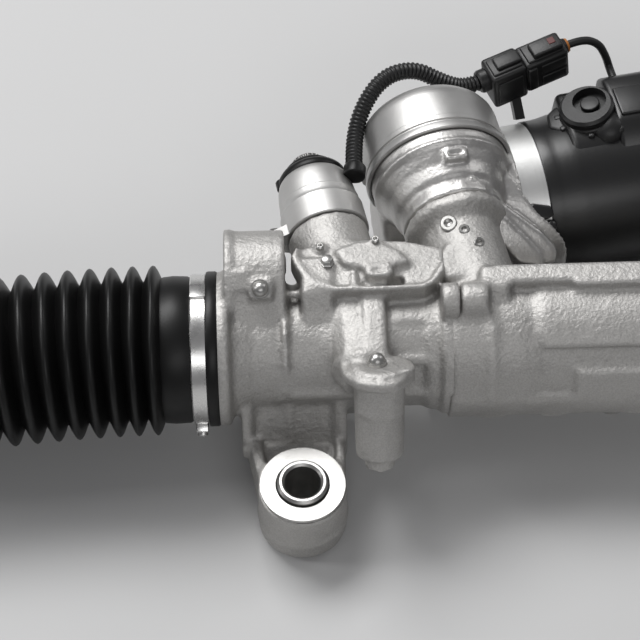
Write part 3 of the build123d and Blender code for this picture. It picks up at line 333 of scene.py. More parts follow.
finishes = dict(
    cast=castMetal("castAluminium"),
    castDrum=castMetal("castAluminiumFine", light=(0.68, 0.67, 0.655), dark=(0.46, 0.45, 0.44), rough=0.36,
                       grain=0.00022),
    sensorTurned=turnedMetal("turnedSensorHousing", sensorFrame),
    drumTurned=turnedMetal("turnedWormCover", drumFrame, rough=0.33),
    bellTurned=turnedMetal("turnedMotorBell", motorFrame, light=(0.84, 0.84, 0.83), dark=(0.70, 0.70, 0.69),
                           rough=0.32),
    plated=platedSteel("zincPlatedSteel"),
    bright=platedSteel("brightBandSteel", light=(0.78, 0.775, 0.765), dark=(0.60, 0.595, 0.585), rough=0.20),
    forged=platedSteel("oiledForgedSteel", light=(0.26, 0.257, 0.252), dark=(0.13, 0.128, 0.125), rough=0.38),
    rubber=blackRubber("blackBootRubber"),
    innerRubber=blackRubber("blackBushRubber", tone=0.02, rough=0.6),
    plastic=mouldedPlastic("blackMouldedPlastic"),
    sleeving=mouldedPlastic("blackSleeving", tone=0.006, rough=0.40, grain=0.00003),
    paint=satinPaint("blackMotorPaint"),
    copper=woundCopper("motorWinding"),
    bronze=softBronze("guideBronze"),
    redMark=tintedPlastic("dullRedPlastic", (0.10, 0.012, 0.01)),
    amberSeal=tintedPlastic("amberSealRubber", (0.45, 0.16, 0.03)),
)
print("materials made")

nodeFinish = dict(
    cast="gear_housing rack_tube worm_housing",
    sensorTurned="sensor_housing",
    drumTurned="worm_cover",
    bellTurned="motor_bell",
    plated="mount_shell_left mount_shell_right mount_sleeve_left mount_sleeve_right housing_joint_bolts small_screws cover_plugs "
           "guide_plugs connector_clip boot_clip_left boot_clip_right jam_nut_left jam_nut_right castle_nut_left castle_nut_right",
    bright="boot_clamp_left boot_clamp_right",
    forged="rack_bar inner_socket_left inner_socket_right input_pinion torsion_bar input_shaft assist_pinion worm_shaft "
           "pinion_ball_bearings pinion_needle_bearings worm_bearings guide_springs tie_rod_left tie_rod_right "
           "tie_rod_end_left tie_rod_end_right ball_stud_left ball_stud_right",
    rubber="boot_left boot_right dust_sleeve stud_boot_left stud_boot_right",
    innerRubber="mount_rubbers",
    plastic="connector_plug connector_socket ecu_socket worm_wheel rack_bush",
    sleeving="harness_conduit harness_lead",
    paint="motor_cover",
    copper="motor_stator motor_rotor sensor_coil",
    bronze="sensor_bush rack_guides",
)
for finish, names in nodeFinish.items():
    for name in names.split():
        node = frame["nodes"][name]
        node.data.materials.clear()
        node.data.materials.append(finishes[finish])


# Mesh helpers
def newPiece(name, mesh, finish, body, smooth=True, angle=35):
    data = bpy.data.meshes.new(name)
    mesh.to_mesh(data)
    mesh.free()
    piece = bpy.data.objects.new(name, data)
    scene.collection.objects.link(piece)
    data.materials.append(finishes[finish])
    if smooth:
        for polygon in data.polygons:
            polygon.use_smooth = True
        data.set_sharp_from_angle(angle=math.radians(angle))
    if body:
        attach(piece, body)
    return piece


def turnedMesh(profile, steps=64, closed=True):
    # a closed outline of (radius, height) points, turned once round the z axis
    mesh = bmesh.new()
    corners = [mesh.verts.new((radius, 0, height)) for radius, height in profile]
    edges = [mesh.edges.new((corners[index], corners[index + 1])) for index in range(len(corners) - 1)]
    if closed:
        edges.append(mesh.edges.new((corners[-1], corners[0])))
    bmesh.ops.spin(mesh, geom=corners + edges, cent=(0, 0, 0), axis=(0, 0, 1), angle=math.tau, steps=steps,
                   use_merge=True)
    bmesh.ops.remove_doubles(mesh, verts=mesh.verts, dist=1e-7)
    bmesh.ops.recalc_face_normals(mesh, faces=mesh.faces)
    return mesh


def routeCurve(name, points, samples):
    data = bpy.data.curves.new(name, "CURVE")
    data.dimensions = "3D"
    spline = data.splines.new("NURBS")
    spline.points.add(len(points) - 1)
    for control, point in zip(spline.points, points):
        control.co = (*point, 1)
    spline.order_u = 3
    spline.use_endpoint_u = True
    data.resolution_u = samples
    return data


def routeLine(points, samples):
    # the smooth line through a route, read from its NURBS spline
    data = routeCurve("routeLine", points, samples)
    holder = bpy.data.objects.new("routeLine", data)
    line = bpy.data.meshes.new_from_object(holder)
    places = [vertex.co.copy() for vertex in line.vertices]
    bpy.data.objects.remove(holder)
    bpy.data.meshes.remove(line)
    bpy.data.curves.remove(data)
    return places


def lineFrames(places):
    # a place on each point of a line, turned as little as possible from one to the next
    frames = []
    side = Vector((0, 0, 1))
    for index, place in enumerate(places):
        ahead = places[min(index + 1, len(places) - 1)] - places[max(index - 1, 0)]
        ahead.normalize()
        side = (side - ahead * side.dot(ahead)).normalized()
        frames.append(frameAt(place, ahead, side))
    return frames


def sweptMesh(frames, radii, sides=24):
    # rings along a line, bridged one to the next and closed at both ends
    mesh = bmesh.new()
    rings = []
    for place, radius in zip(frames, radii):
        made = bmesh.ops.create_circle(mesh, cap_ends=False, segments=sides, radius=radius, matrix=place)
        rings.append(list({edge for vert in made["verts"] for edge in vert.link_edges}))
    for first, second in zip(rings, rings[1:]):
        bmesh.ops.bridge_loops(mesh, edges=first + second)
    for ends in (rings[0], rings[-1]):
        bmesh.ops.edgeloop_fill(mesh, edges=ends)
    bmesh.ops.recalc_face_normals(mesh, faces=mesh.faces)
    return mesh


# Forms: outlines in millimetres, set in a frame
def placed(mesh, place):
    bmesh.ops.transform(mesh, matrix=place @ Matrix.Scale(0.001, 4), verts=mesh.verts)
    bmesh.ops.recalc_face_normals(mesh, faces=mesh.faces)
    return mesh


def softened(mesh, edge, least=0.5):
    if edge:
        bmesh.ops.recalc_face_normals(mesh, faces=mesh.faces)
        sharp = [rim for rim in mesh.edges if len(rim.link_faces) == 2 and rim.calc_face_angle() > least]
        bmesh.ops.bevel(mesh, geom=sharp, offset=edge, segments=3, affect="EDGES", profile=0.5, material=-1)
    return mesh


def moved(place, x, y, z=0):
    return place @ Matrix.Translation((x / 1000, y / 1000, z / 1000))


def turned(place, degrees):
    return place @ Matrix.Rotation(math.radians(degrees), 4, "Z")


def bar(place, low, high, radius, tip=None, edge=0.0, sides=48):
    mesh = bmesh.new()
    bmesh.ops.create_cone(mesh, cap_ends=True, segments=sides, radius1=radius, radius2=radius if tip is None else tip,
                          depth=high - low, matrix=Matrix.Translation((0, 0, (low + high) / 2)))
    return placed(softened(mesh, edge), place)


def slab(place, outline, low, high, edge=0.0):
    mesh = bmesh.new()
    face = mesh.faces.new([mesh.verts.new((x, y, low)) for x, y in outline])
    grown = bmesh.ops.extrude_face_region(mesh, geom=[face])
    top = [item for item in grown["geom"] if isinstance(item, bmesh.types.BMVert)]
    bmesh.ops.translate(mesh, vec=(0, 0, high - low), verts=top)
    return placed(softened(mesh, edge), place)


def block(place, low, high, edge=0.0):
    outline = [(low[0], low[1]), (high[0], low[1]), (high[0], high[1]), (low[0], high[1])]
    return slab(place, outline, low[2], high[2], edge)


def lathe(place, *outline, closed=True, steps=96):
    return placed(turnedMesh(outline, steps, closed), place)


def hull(place, circles, low, high):
    # the shell round several circles, from one height to another
    mesh = bmesh.new()
    for x, y, radius in circles:
        for height in (low, high):
            bmesh.ops.create_circle(mesh, segments=40, radius=radius, matrix=Matrix.Translation((x, y, height)))
    wrapped = bmesh.ops.convex_hull(mesh, input=mesh.verts)
    spare = {item for item in wrapped["geom_interior"] + wrapped["geom_unused"] if isinstance(item, bmesh.types.BMVert)}
    bmesh.ops.delete(mesh, geom=list(spare), context="VERTS")
    return placed(mesh, place)


def ball(place, centre, radius, flat=1.0):
    mesh = bmesh.new()
    squash = Matrix.Diagonal((1, 1, flat, 1))
    bmesh.ops.create_uvsphere(mesh, u_segments=24, v_segments=14, radius=radius,
                              matrix=Matrix.Translation(centre) @ squash)
    return placed(mesh, place)


def joined(*meshes):
    whole = bmesh.new()
    for mesh in meshes:
        data = bpy.data.meshes.new("part")
        mesh.to_mesh(data)
        mesh.free()
        whole.from_mesh(data)
        bpy.data.meshes.remove(data)
    return whole


def worked(mesh, kind, cutter=None, **settings):
    # a mesh with one modifier applied to it
    data = bpy.data.meshes.new("work")
    mesh.to_mesh(data)
    mesh.free()
    holder = bpy.data.objects.new("work", data)
    scene.collection.objects.link(holder)
    modifier = holder.modifiers.new("work", kind)
    for name, value in settings.items():
        setattr(modifier, name, value)
    if cutter is not None:
        tool = bpy.data.objects.new("tool", bpy.data.meshes.new("tool"))
        cutter.to_mesh(tool.data)
        cutter.free()
        scene.collection.objects.link(tool)
        modifier.object = tool
    shaped = bpy.data.meshes.new_from_object(holder.evaluated_get(bpy.context.evaluated_depsgraph_get()))
    result = bmesh.new()
    result.from_mesh(shaped)
    bpy.data.meshes.remove(shaped)
    bpy.data.objects.remove(holder)
    bpy.data.meshes.remove(data)
    if cutter is not None:
        toolData = tool.data
        bpy.data.objects.remove(tool)
        bpy.data.meshes.remove(toolData)
    return result


def carved(mesh, *cutters):
    for cutter in cutters:
        mesh = worked(mesh, "BOOLEAN", cutter, operation="DIFFERENCE", solver="EXACT", use_self=True)
    return mesh


def cast(mesh, grid, rounds=3):
    # one skin round everything, with the small fillets of a casting
    mesh = worked(mesh, "REMESH", mode="VOXEL", voxel_size=grid / 1000)
    for turn in range(rounds):
        bmesh.ops.smooth_vert(mesh, verts=mesh.verts, factor=0.5, use_axis_x=True, use_axis_y=True, use_axis_z=True)
    return mesh


def nodeCopy(name):
    mesh = bmesh.new()
    mesh.from_mesh(frame["nodes"][name].data)
    bmesh.ops.remove_doubles(mesh, verts=mesh.verts, dist=1e-6)
    return mesh


def standFor(piece, node):
    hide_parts(node)
    return piece


def housed(name, mesh, finish, angle, node):
    # a piece on the housing that stands for one CAD node
    return standFor(newPiece(name, mesh, finish, "housing", angle=angle), node)


# Castings
gear = dict(grid=1.05, knuckle=((19, 21, 20.5), (0, 0, 22)), knuckleEnds=(-29.2, -4.8), deckTop=85.0, deckFoot=73.5,
            sink=2.6,
            barrel=26, pad=(57.8, 65.1))


def deckForms():
    top, foot, sink = gear["deckTop"], gear["deckFoot"], gear["sink"]
    outline = [(-2.5, 76), (-0.6, 70.6), (1.8, 66), (6.3, 61.3), (14.7, 58.4), (30, 58), (51.3, 58.6), (56, 61.6),
               (60, 67),
               (60, 80), (46, 84), (30, 85.5), (12, 84), (0, 81)]
    inner = [(0.4, 75.5), (1.8, 71.2), (4, 67.4), (7.6, 63.4), (15.2, 60.6), (30, 60.2), (50.8, 60.8), (54, 62.8),
             (57, 68),
             (64, 79), (64, 90), (12, 90), (2, 90)]
    plate = slab(ground, outline, foot, top, 0.5)
    plate = carved(plate, slab(ground, inner, top - sink, top + 3), block(ground, (26.3, 61.2, 77.5), (43.5, 66.5,
                                                                                                       90), 0.4))
    raised = slab(ground, [(15.4, 78), (19.2, 70.7), (24, 69.2), (27.6, 68.9), (38.5, 68.8), (46, 71.3), (42, 77),
                           (35.1, 81.5),
                           (25.4, 82.2)], top - sink - 1, top + 1.0, 0.5)
    oval = carved(hull(ground, ((30.2, 66.6, 2.9), (36, 66.6, 2.9)), 77.5, top + 1.8),
                  hull(ground, ((31.2, 66.6, 1.3), (35, 66.6, 1.3)), top - 3, top + 4))
    rib = block(ground, (22, 61, 80), (24, 67.5, top - 0.6), 0.4)
    prop = slab(sectionFrame, [(20, 35), (3, 35), (-4.6, 26.2), (-5.4, 22), (20, 22)], 1.5, 14.5, 1.2)
    lip = slab(sectionFrame, [(2, 30), (-5.2, 26.6), (-6.6, 24), (-4, 22), (2, 22)], 2.5, 15.6, 0.8)
    tab = bar(moved(sectionFrame, 5.5, 29), -6, 6, 1.7, edge=0.5)
    studs = [bar(moved(ground, 9.8, 80.2), 78, top - 0.6, 2.1, edge=0.4),
             bar(moved(ground, 32.3, 81.2), 78, top + 1.6, 2.4, edge=0.4),
             bar(moved(ground, 12.4, 72.5), 78, top - 1.4, 3.4, edge=0.5)]
    return [plate, raised, oval, rib, prop, lip, tab] + studs


def columnForms():
    # the two ribs from the front boss up to the deck, and the pinion's chamber between them
    chamber = lathe(sensorFrame, (11.3, -18), (12.4, -18), (13, -6), (13.2, 8), (11.3, 8))
    end = lathe(sensorFrame, (0, -30), (8, -30), (10.4, -28), (12, -22), (12.4, -16), (9.2, -16), (9.2, -26), (0,
                                                                                                               -26), closed=False)
    left = slab(sectionFrame, [(3, 30), (-10, 28.6), (-22, 27), (-27.5, 24), (-27, 6), (3, 6)], 17.4, 23.2, 1.0)
    right = slab(sectionFrame, [(3, 31.5), (-9, 30.8), (-21, 29), (-28, 27), (-28, 6), (3, 6)], 25.8, 35.4, 1.6)
    step = slab(sectionFrame, [(4, 26.4), (-6, 26.4), (-8.5, 24), (-8.5, 16), (4, 16)], 39, 52, 0.8)
    ridge = slab(sectionFrame, [(-19.6, 18.6), (-21.6, 16.6), (-20, 12), (-17, 12), (-17, 18)], 36, 60, 0.6)
    skin = lathe(sectionFrame, (24, 51), (26.9, 51.6), (27.4, 60), (24, 60))
    return [chamber, end, left, right, step, ridge, skin]


def bossForms():
    # the screwed flange round the front boss
    place = frameAt((0.0315, 0.025, 0.074), (0, 0.5, 0.866), rackAxis)
    lip = slab(place, [(-16, 5), (-14.5, -4), (-9.8, -11), (-5, -14), (1, -15), (6.5, -14), (12.8, -6), (14.6, 0),
                       (13, 7), (-12, 10)],
               -2.5, 2.0, 0.9)
    ear = carved(bar(moved(place, 8.8, 0.5), -3, 3.6, 4.7, edge=0.6),
                 bar(moved(place, 8.8, 0.5), 1, 6, 1.6))
    seat = bar(moved(place, -1, 0.5), -2, 3, 5.2, edge=0.7)
    lower = slab(place, [(-9.5, -7), (-5, -11), (5, -11), (9.5, -7), (9.5, 0), (-9.5, 0)], -16, -1, 1.2)
    return [lip, ear, seat, lower]


def knuckleForms():
    left, right = gear["knuckleEnds"]
    body = hull(sectionFrame, gear["knuckle"], left, right)
    rim = hull(sectionFrame, [(x, y, radius + 0.9) for x, y, radius in gear["knuckle"]], left - 0.4, left + 2.6)
    groove = lathe(sectionFrame, (20, -33), (31.4, -33), (31.9, -32), (31.9, -29), (30.5, -27.8), (28.2, -27.6),
                   (27.4, -26), (26, -20),
                   (20, -20))
    pad = block(frameAt((-0.023, 0.0631, 0.0867), facing, rackAxis), (-3.4, -4.4, -3), (3.4, 4.0, 0.9), 0.8)
    seat = block(frameAt((-0.0146, 0.0592, 0.0856), (0, -0.5, 0.86), rackAxis), (-4.6, -4.2, -5), (4.6, 4.2,
                                                                                                           0.4), 0.9)
    crease = slab(sectionFrame, [(16, 24), (2, 28.6), (-12, 26), (-22, 17), (-25, 0), (0, 0)], -6.6, -4.2, 0.6)
    return [body, rim, groove, pad, seat, crease]


def lugForms():
    # the mounting arm climbs to the barrel between two rims
    floor = slab(sectionFrame, [(-44, -25.5), (-33, -24.5), (-21.5, 0), (-16, 2), (-16, -30), (-44, -30)], -21, 16, 1.0)
    forms = [floor]
    for low, high in ((-24.4, -19.4), (13.6, 19.2)):
        forms.append(slab(sectionFrame, [(-36, -21.6), (-33, -20.6), (-23, 6), (-16, 10), (-16, -30), (-36, -30)],
                          low, high, 1.4))
    forms.append(slab(sectionFrame, [(-32, -22), (-22.6, 3), (-16, 6), (-16, -30), (-32, -30)], -5.6, -2.8, 0.8))
    return forms


def gearCasting():
    barrel, deckBarrel = (bar(sectionFrame, -70, 80, gear["barrel"], sides=96) for copy in range(2))
    flange = bar(sectionFrame, -70, 80, 31.2, sides=96)
    tower = bar(sensorFrame, 4, 60, 17.2, sides=64)
    cuts = [
        carved(block(ground, (-31, 10, 38), (-3, 120, 120)), barrel),
        carved(block(ground, (-36, 10, 38), (-31, 120, 120)), flange),
        carved(block(ground, (-6.5, 33, 62), (61.5, 97, 110)), deckBarrel, tower),
    ]
    mesh = carved(nodeCopy("gear_housing"), *cuts)
    mesh = joined(mesh, *deckForms(), *columnForms(), *bossForms(), *knuckleForms(), *lugForms(),
                  *jointForms(*gear["pad"]))
    return housed("gearHousing", cast(mesh, gear["grid"]), "cast", 180, "gear_housing")


def jointForms(low, high):
    # the pad that bolts the two housings together, and the collar under it
    lobe = hull(sectionFrame, ((-1, 30.6, 7.4), (-1, 14, 9.5)), low, high)
    collar = lathe(sectionFrame, (22, low), (28.6, low), (29.4, low + 1), (29.4, high), (22, high))
    return [carved(lobe, bar(drumFrame, -30, 40, 12)), collar]


gearCasting()
print("gear housing cast")

tube = dict(grid=1.3, core=28.5, pad=(65.5, 76.7))


def tubeCasting():
    core, shelfCore = (bar(sectionFrame, 40, 200, tube["core"], sides=96) for copy in range(2))
    cuts = [
        carved(block(ground, (60, 8, 52), (112, 60, 110)), core),
        carved(block(ground, (60, 8, 70), (79.9, 72, 110)), shelfCore),
        carved(lathe(drumFrame, (22.6, 40), (45, 40), (45, 50.5), (22.6, 50.5)), block(drumFrame, (16, -60, 30), (60,
                                                                                                                  60, 60))),
    ]
    mesh = carved(nodeCopy("rack_tube"), *cuts)
    chamber = lathe(drumFrame, (11.3, -4), (13.4, -4), (15.5, 6), (16.8, 13), (16.8, 36), (14.2, 36), (14.2, 20),
                    (11.3, 20))
    band = lathe(sectionFrame, (25, 62), (30, 62), (30.2, 70), (30, 90), (29, 97), (25, 97))
    sector = lathe(sectionFrame, (25, 93), (30.6, 97), (31, 100), (31, 196), (29, 200), (25, 200))
    sector = carved(sector, slab(sectionFrame, [(6, 60), (6, 0), (-17.5, 25), (-40, 10), (-40, -40), (60, -40), (60,
                                                                                                                 60)],
                                 80, 210))
    shelfEnd = slab(sectionFrame, [(13, 36), (2.5, 36), (-4, 28), (-4, 20), (13, 20)], 74, 86, 1.5)
    rim = lathe(sectionFrame, (24, 76), (30.8, 76), (31.3, 78), (30.2, 80.5), (27, 81), (24, 81))
    pads = [block(frameAt((x, 0.0283, 0.0362), (0, -1, 0.1), rackAxis), (-5, -2, -4), (5, 2, 1.4), 0.7)
            for x in (0.079, 0.104, 0.139)]
    bolts = [block(frameAt((0.0635, 0.093, 0.0775), (-0.15, -0.25, 1), rackAxis), (-4.4, -4.6, -4), (4.4, 4.6,
                                                                                                             3), 0.8),
             bar(frameAt((0.0695, 0.0893, 0.0785), (0, -0.3, 1), rackAxis), -4, 3, 3.4, edge=0.5),
             bar(frameAt((0.0748, 0.0825, 0.0785), (0.2, -0.4, 1), rackAxis), -4, 3, 3.6, edge=0.5)]
    step = slab(ground, [(59, 66), (66, 66), (74, 69), (78, 76), (77, 84), (62, 84), (57, 75)], 66, 81.2, 1.2)
    mesh = joined(mesh, chamber, band, sector, shelfEnd, rim, step, *pads, *bolts, *jointForms(*tube["pad"]))
    return housed("rackTube", cast(mesh, tube["grid"]), "cast", 180, "rack_tube")


chamberFloor = -0.0105  # along the assist pinion
betweenPinions = 0.05  # along the rack


def innerPiece(name, mesh, node):
    piece = newPiece(name, mesh, "forged", body_of(frame["nodes"][node])[0], angle=30)
    return standFor(piece, node)


def trimmedPinion():
    # the assist pinion as far as the closed end of its chamber
    mesh = nodeCopy("assist_pinion")
    start = drumFrame @ Vector((0, 0, chamberFloor))
    cut = bmesh.ops.bisect_plane(mesh, geom=mesh.verts[:] + mesh.edges[:] + mesh.faces[:], plane_co=start,
                                 plane_no=shaftAxis,
                                 clear_inner=True)
    rim = [item for item in cut["geom_cut"] if isinstance(item, bmesh.types.BMEdge)]
    bmesh.ops.edgeloop_fill(mesh, edges=rim)
    innerPiece("assistPinion", mesh, "assist_pinion")
    mesh = nodeCopy("pinion_needle_bearings")
    far = [vert for vert in mesh.verts if vert.co.x > betweenPinions]
    bmesh.ops.delete(mesh, geom=far, context="VERTS")
    innerPiece("needleBearing", mesh, "pinion_needle_bearings")


tubeCasting()
trimmedPinion()
print("rack tube cast")

drum = dict(grid=0.85, neckRadius=38.0, rimRadius=39.2,
            mouth=((-72, 26), (10, 26), (15.5, 29.5), (22, 32), (27.3, 35.7), (31.5, 41.6), (34.2, 45.2), (37, 48.2),
                   (72, 50)),
            step=((-72, 13), (5.9, 14), (19.6, 21.6), (23, 24), (33.9, 34.6), (37.4, 41.6), (72, 44)))


def neckSleeve(outer):
    # a sleeve round the motor's axis, up to the slanted mouth
    ring = lathe(motorFrame, (34, 8), (outer, 8), (outer, 52), (34, 52))
    beyond = [(72, 80), (-72, 80)]
    return carved(ring, slab(slantFrame, [*drum["mouth"], *beyond], -80, 80), belowFloor())


def belowFloor():
    return block(ground, (-300, -200, -90), (500, 400, 0.4))


def neckArm():
    # the slanted arm from the drum down to the motor, with its raised panels, and the slot on the bowl
    place = frameAt((0.0584, 0.1259, 0.1037), (0.19, -0.735, 0.703), Vector((0.707, -0.5755, -0.41)))
    arm = slab(place, [(19, -3), (41, -1.6), (66, 2.2), (76, 1.8), (80.5, -4), (68, -16.5), (47, -16), (28, -12), (19,
                                                                                                                   -9)],
               -19, 0, 2.4)
    near = slab(place, [(26, -2.4), (42, -3), (44.6, -8), (43.4, -13.4), (30, -12.4), (24.6, -7)], -5, 2, 0.9)
    near = carved(near, ball(place, (42.5, -13, 2.6), 3.4))
    far = slab(place, [(47.5, -5), (71, -5), (76, -9), (67.5, -14.6), (47, -14.2)], -5, 1.5, 0.8)
    onBowl = moved(turned(drumFrame, -84), 26.2, 0, 65.5)
    slot = carved(block(onBowl, (-3, -5, -3), (2.2, 5, 3), 1.0), block(onBowl, (0.8, -3.4, -1.5), (4, 3.4, 1.5), 0.5))
    return [carved(arm, bar(drumFrame, 77, 120, 40, sides=96)), near, far, slot]


def drumCasting():
    ears = carved(lathe(drumFrame, (22.4, 49), (45, 49), (45, 58), (22.4, 58)),
                  block(drumFrame, (15.5, -60, 30), (60, 60, 70)))
    mesh = carved(nodeCopy("worm_housing"), ears)
    bowl = lathe(drumFrame, (10.5, 50), (20.4, 50), (20.6, 56), (22.3, 60), (26.2, 65.2), (28.8, 70.5), (30, 75.6),
                 (30.3, 83.8), (26, 83.8), (26, 68), (10.5, 68))
    skin = neckSleeve(drum["neckRadius"])
    behind = [(72, -60), (-72, -60)]
    rim = carved(neckSleeve(drum["rimRadius"]), slab(slantFrame, [*drum["step"], *behind], -80, 80))
    cone = lathe(motorFrame, (10, -4), (15, -4), (20, 3), (30, 9), (36, 14), (37.8, 19), (36.5, 26), (10, 26))
    cone = carved(cone, belowFloor())
    ledge = lathe(drumFrame, (19, 56.6), (23.0, 57), (23.6, 58.2), (22, 59.6), (19, 59.6))
    ridge = lathe(drumFrame, (27, 70), (29.6, 70.4), (30.5, 71.4), (29.8, 72.6), (27, 72.6))
    mesh = joined(mesh, bowl, skin, rim, cone, ledge, ridge, *neckArm())
    return housed("wormHousing", cast(mesh, drum["grid"]), "castDrum", 180, "worm_housing")


coverEars = dict(turns=(152, 176), reach=29.6)


def coverCasting():
    shell = lathe(drumFrame, (30.5, 77), (31.4, 77), (31.9, 77.4), (31.9, 80), (31.6, 80.6), (30.4, 80.9), (30.4, 82),
                  (31.2, 82.4), (31.2, 84.6), (30.9, 85), (30.9, 97), (30.5, 99.6), (29.4, 102), (27.4, 104.4),
                  (24.6, 106.4), (21.6, 107.8), (18.4, 108.8), (18, 109.2), (14, 109.2), (13.6, 108.4), (8, 108.4),
                  (8, 104), (25.2, 96), (25.2, 85), (30.5, 84.4), steps=160)
    ears = [hull(turned(drumFrame, turn), ((coverEars["reach"], 0, 3.3), (24, 0, 8)), 82.2, 89.5)
            for turn in coverEars["turns"]]
    body = carved(joined(shell, *ears), bar(motorFrame, 10, 60, 36.6, sides=96), bar(motorFrame, -29, 12, 15.6,
                                                                                     sides=64))
    return housed("wormCover", body, "drumTurned", 28, "worm_cover")


def screwHead(place, radius, high):
    return lathe(place, (0, -1), (radius, -1), (radius, high - 0.5), (radius - 0.5, high), (radius * 0.55, high),
                 (radius * 0.5, high - 1.2), (0, high - 1.2), closed=False, steps=32)


def jointBolts():
    # the two lower bolts: the upper one is inside the pads
    mesh = nodeCopy("housing_joint_bolts")
    padFloor = 0.079
    upper = [vert for vert in mesh.verts if vert.co.z > padFloor]
    bmesh.ops.delete(mesh, geom=upper, context="VERTS")
    return housed("jointBolts", mesh, "plated", 30, "housing_joint_bolts")


def screwPieces():
    # the sensor's own screws, and the heads on the drum, the towers and the deck
    kept = nodeCopy("small_screws")
    inDrum, inSensor = drumFrame.inverted(), sensorFrame.inverted()

    def dropped(place):
        onDrum, onSensor = inDrum @ place, inSensor @ place
        inBowl = onDrum.to_2d().length < 0.036 and onDrum.z > 0.03
        return inBowl or (onSensor.x > 0.005 and onSensor.to_2d().length < 0.03)

    bmesh.ops.delete(kept, geom=[vert for vert in kept.verts if dropped(vert.co)], context="VERTS")
    heads = [kept]
    for turn in coverEars["turns"]:
        heads.append(screwHead(moved(turned(drumFrame, turn), coverEars["reach"], 0, 89.5), 2.2, 2))
    for place, lean, radius, high in (
        ((0.0635, 0.0932, 0.0802), (-0.15, -0.25, 1), 3.6, 2.4),
        ((0.0695, 0.0893, 0.0812), (0, -0.3, 1), 2.3, 2),
        ((0.0748, 0.0825, 0.0812), (0.2, -0.4, 1), 2.3, 2),
        ((0.0625, 0.0532, 0.0842), facing, 1.7, 1.4),
        ((0.0715, 0.0532, 0.0842), facing, 1.5, 1.0),
    ):
        heads.append(screwHead(frameAt(Vector(place), lean, rackAxis), radius, high))
    heads.append(screwHead(moved(ground, 9.8, 80.2, 84.4), 1.6, 1.6))
    heads.append(screwHead(moved(ground, 32.3, 81.2, 86.6), 1.7, 1.6))
    heads.append(lathe(moved(ground, 12.4, 72.5, 83.6), (0, 0), (3.0, 0), (3.0, 1), (2.6, 1.1), (2.6, 3), (2.1, 3.4),
                       (0, 3.4), closed=False, steps=6))
    return housed("smallScrews", joined(*heads), "plated", 30, "small_screws")


jointBolts()
screwPieces()
drumCasting()
coverCasting()
print("drum cast")


def sensorPiece():
    # the turned collar, with its step and slanted shoulder, and the lug away from the motor
    collar = lathe(sensorFrame, (10.6, 45), (17.5, 45), (17.9, 45.4), (17.9, 56.4), (17.3, 57.4), (17.1, 59), (17.1,
                                                                                                               61),
                   (16.7, 61.6), (16.5, 66), (15.8, 70.6), (15.2, 72.6), (14.4, 73.8), (10.6, 73.8), steps=128)
    spoke = sensorFrame @ Matrix.Rotation(math.pi, 4, "Z")
    lug = carved(hull(spoke, ((21.6, 0, 4), (12, 0, 8)), 45, 50), bar(spoke, 40, 55, 11))
    return housed("sensorHousing", joined(collar, lug), "sensorTurned", 28, "sensor_housing")


def dustCap():
    # the rubber cap, folded down to the shaft, and the gland on its rim
    cap = lathe(sensorFrame, (9.0, 73.8), (14.6, 73.8), (14.9, 74.6), (14.7, 76.4), (13.7, 77.8), (12.4, 78.4),
                (11.6, 79.2), (11.6, 80.2), (10.8, 81.2), (10.0, 81.8), (9.4, 82.6), (8.8, 82.6))
    start = Vector((0.026, 0.126, 0.076))
    gland = bar(frameAt(start, (0.15, 1, 0.02), up), -2.5, 3, 4.8, edge=0.8)
    root = hull(sensorFrame, ((-12.4, 0, 2.8), (-12.6, 0, 3)), 73.9, 77.6)
    return housed("dustSleeve", joined(cap, gland, root), "rubber", 40, "dust_sleeve")


sensorPiece()
dustCap()
print("sensor tower made")


# Motor
motor = dict(bell=34.0, cover=34.6, body=36.0)


def motorPieces():
    bell = lathe(motorFrame, (5.6, 26.2), (33, 26.2), (motor["bell"], 27), (motor["bell"], 43.4), (33.2, 43.8),
                 (33.2, 49.6), (31.5, 49.6), (31.5, 30), (5.6, 30), steps=160)
    housed("motorBell", bell, "bellTurned", 30, "motor_bell")
    cover = lathe(motorFrame, (33.4, 43.8), (34.3, 43.6), (motor["cover"], 44.2), (motor["cover"], 49), (34.9, 52),
                  (35.7, 56), (motor["body"], 60), (motor["body"], 152), (35.4, 154), (33.8, 156.4), (31, 157.8),
                  (12, 158), (12, 154), (30, 153), (33.3, 149), (33.3, 52), steps=160)
    cap = bar(motorFrame, 146, 157.2, 13, edge=0.6)
    hump = slab(motorFrame, [(6, -33), (35, -33), (41.4, -27), (42.6, -20), (42.6, -3), (38, 5), (30, 12), (10, 14)],
                79, 112, 2.2)
    saddle = slab(motorFrame, [(20, -30), (37.5, -27), (38.6, -12), (37.4, 2), (30, 14), (20, 16)], 58, 118, 3)
    lid = slab(moved(motorFrame, 42.6, -11.5, 95.5) @ Matrix.Rotation(math.pi / 2, 4, "Y"),
               [(-14, -7.5), (14, -7.5), (14, 7.5), (-14, 7.5)], -1, 1.2, 0.7)
    housed("motorCover", joined(cover, cap, hump, saddle, lid), "paint", 30, "motor_cover")


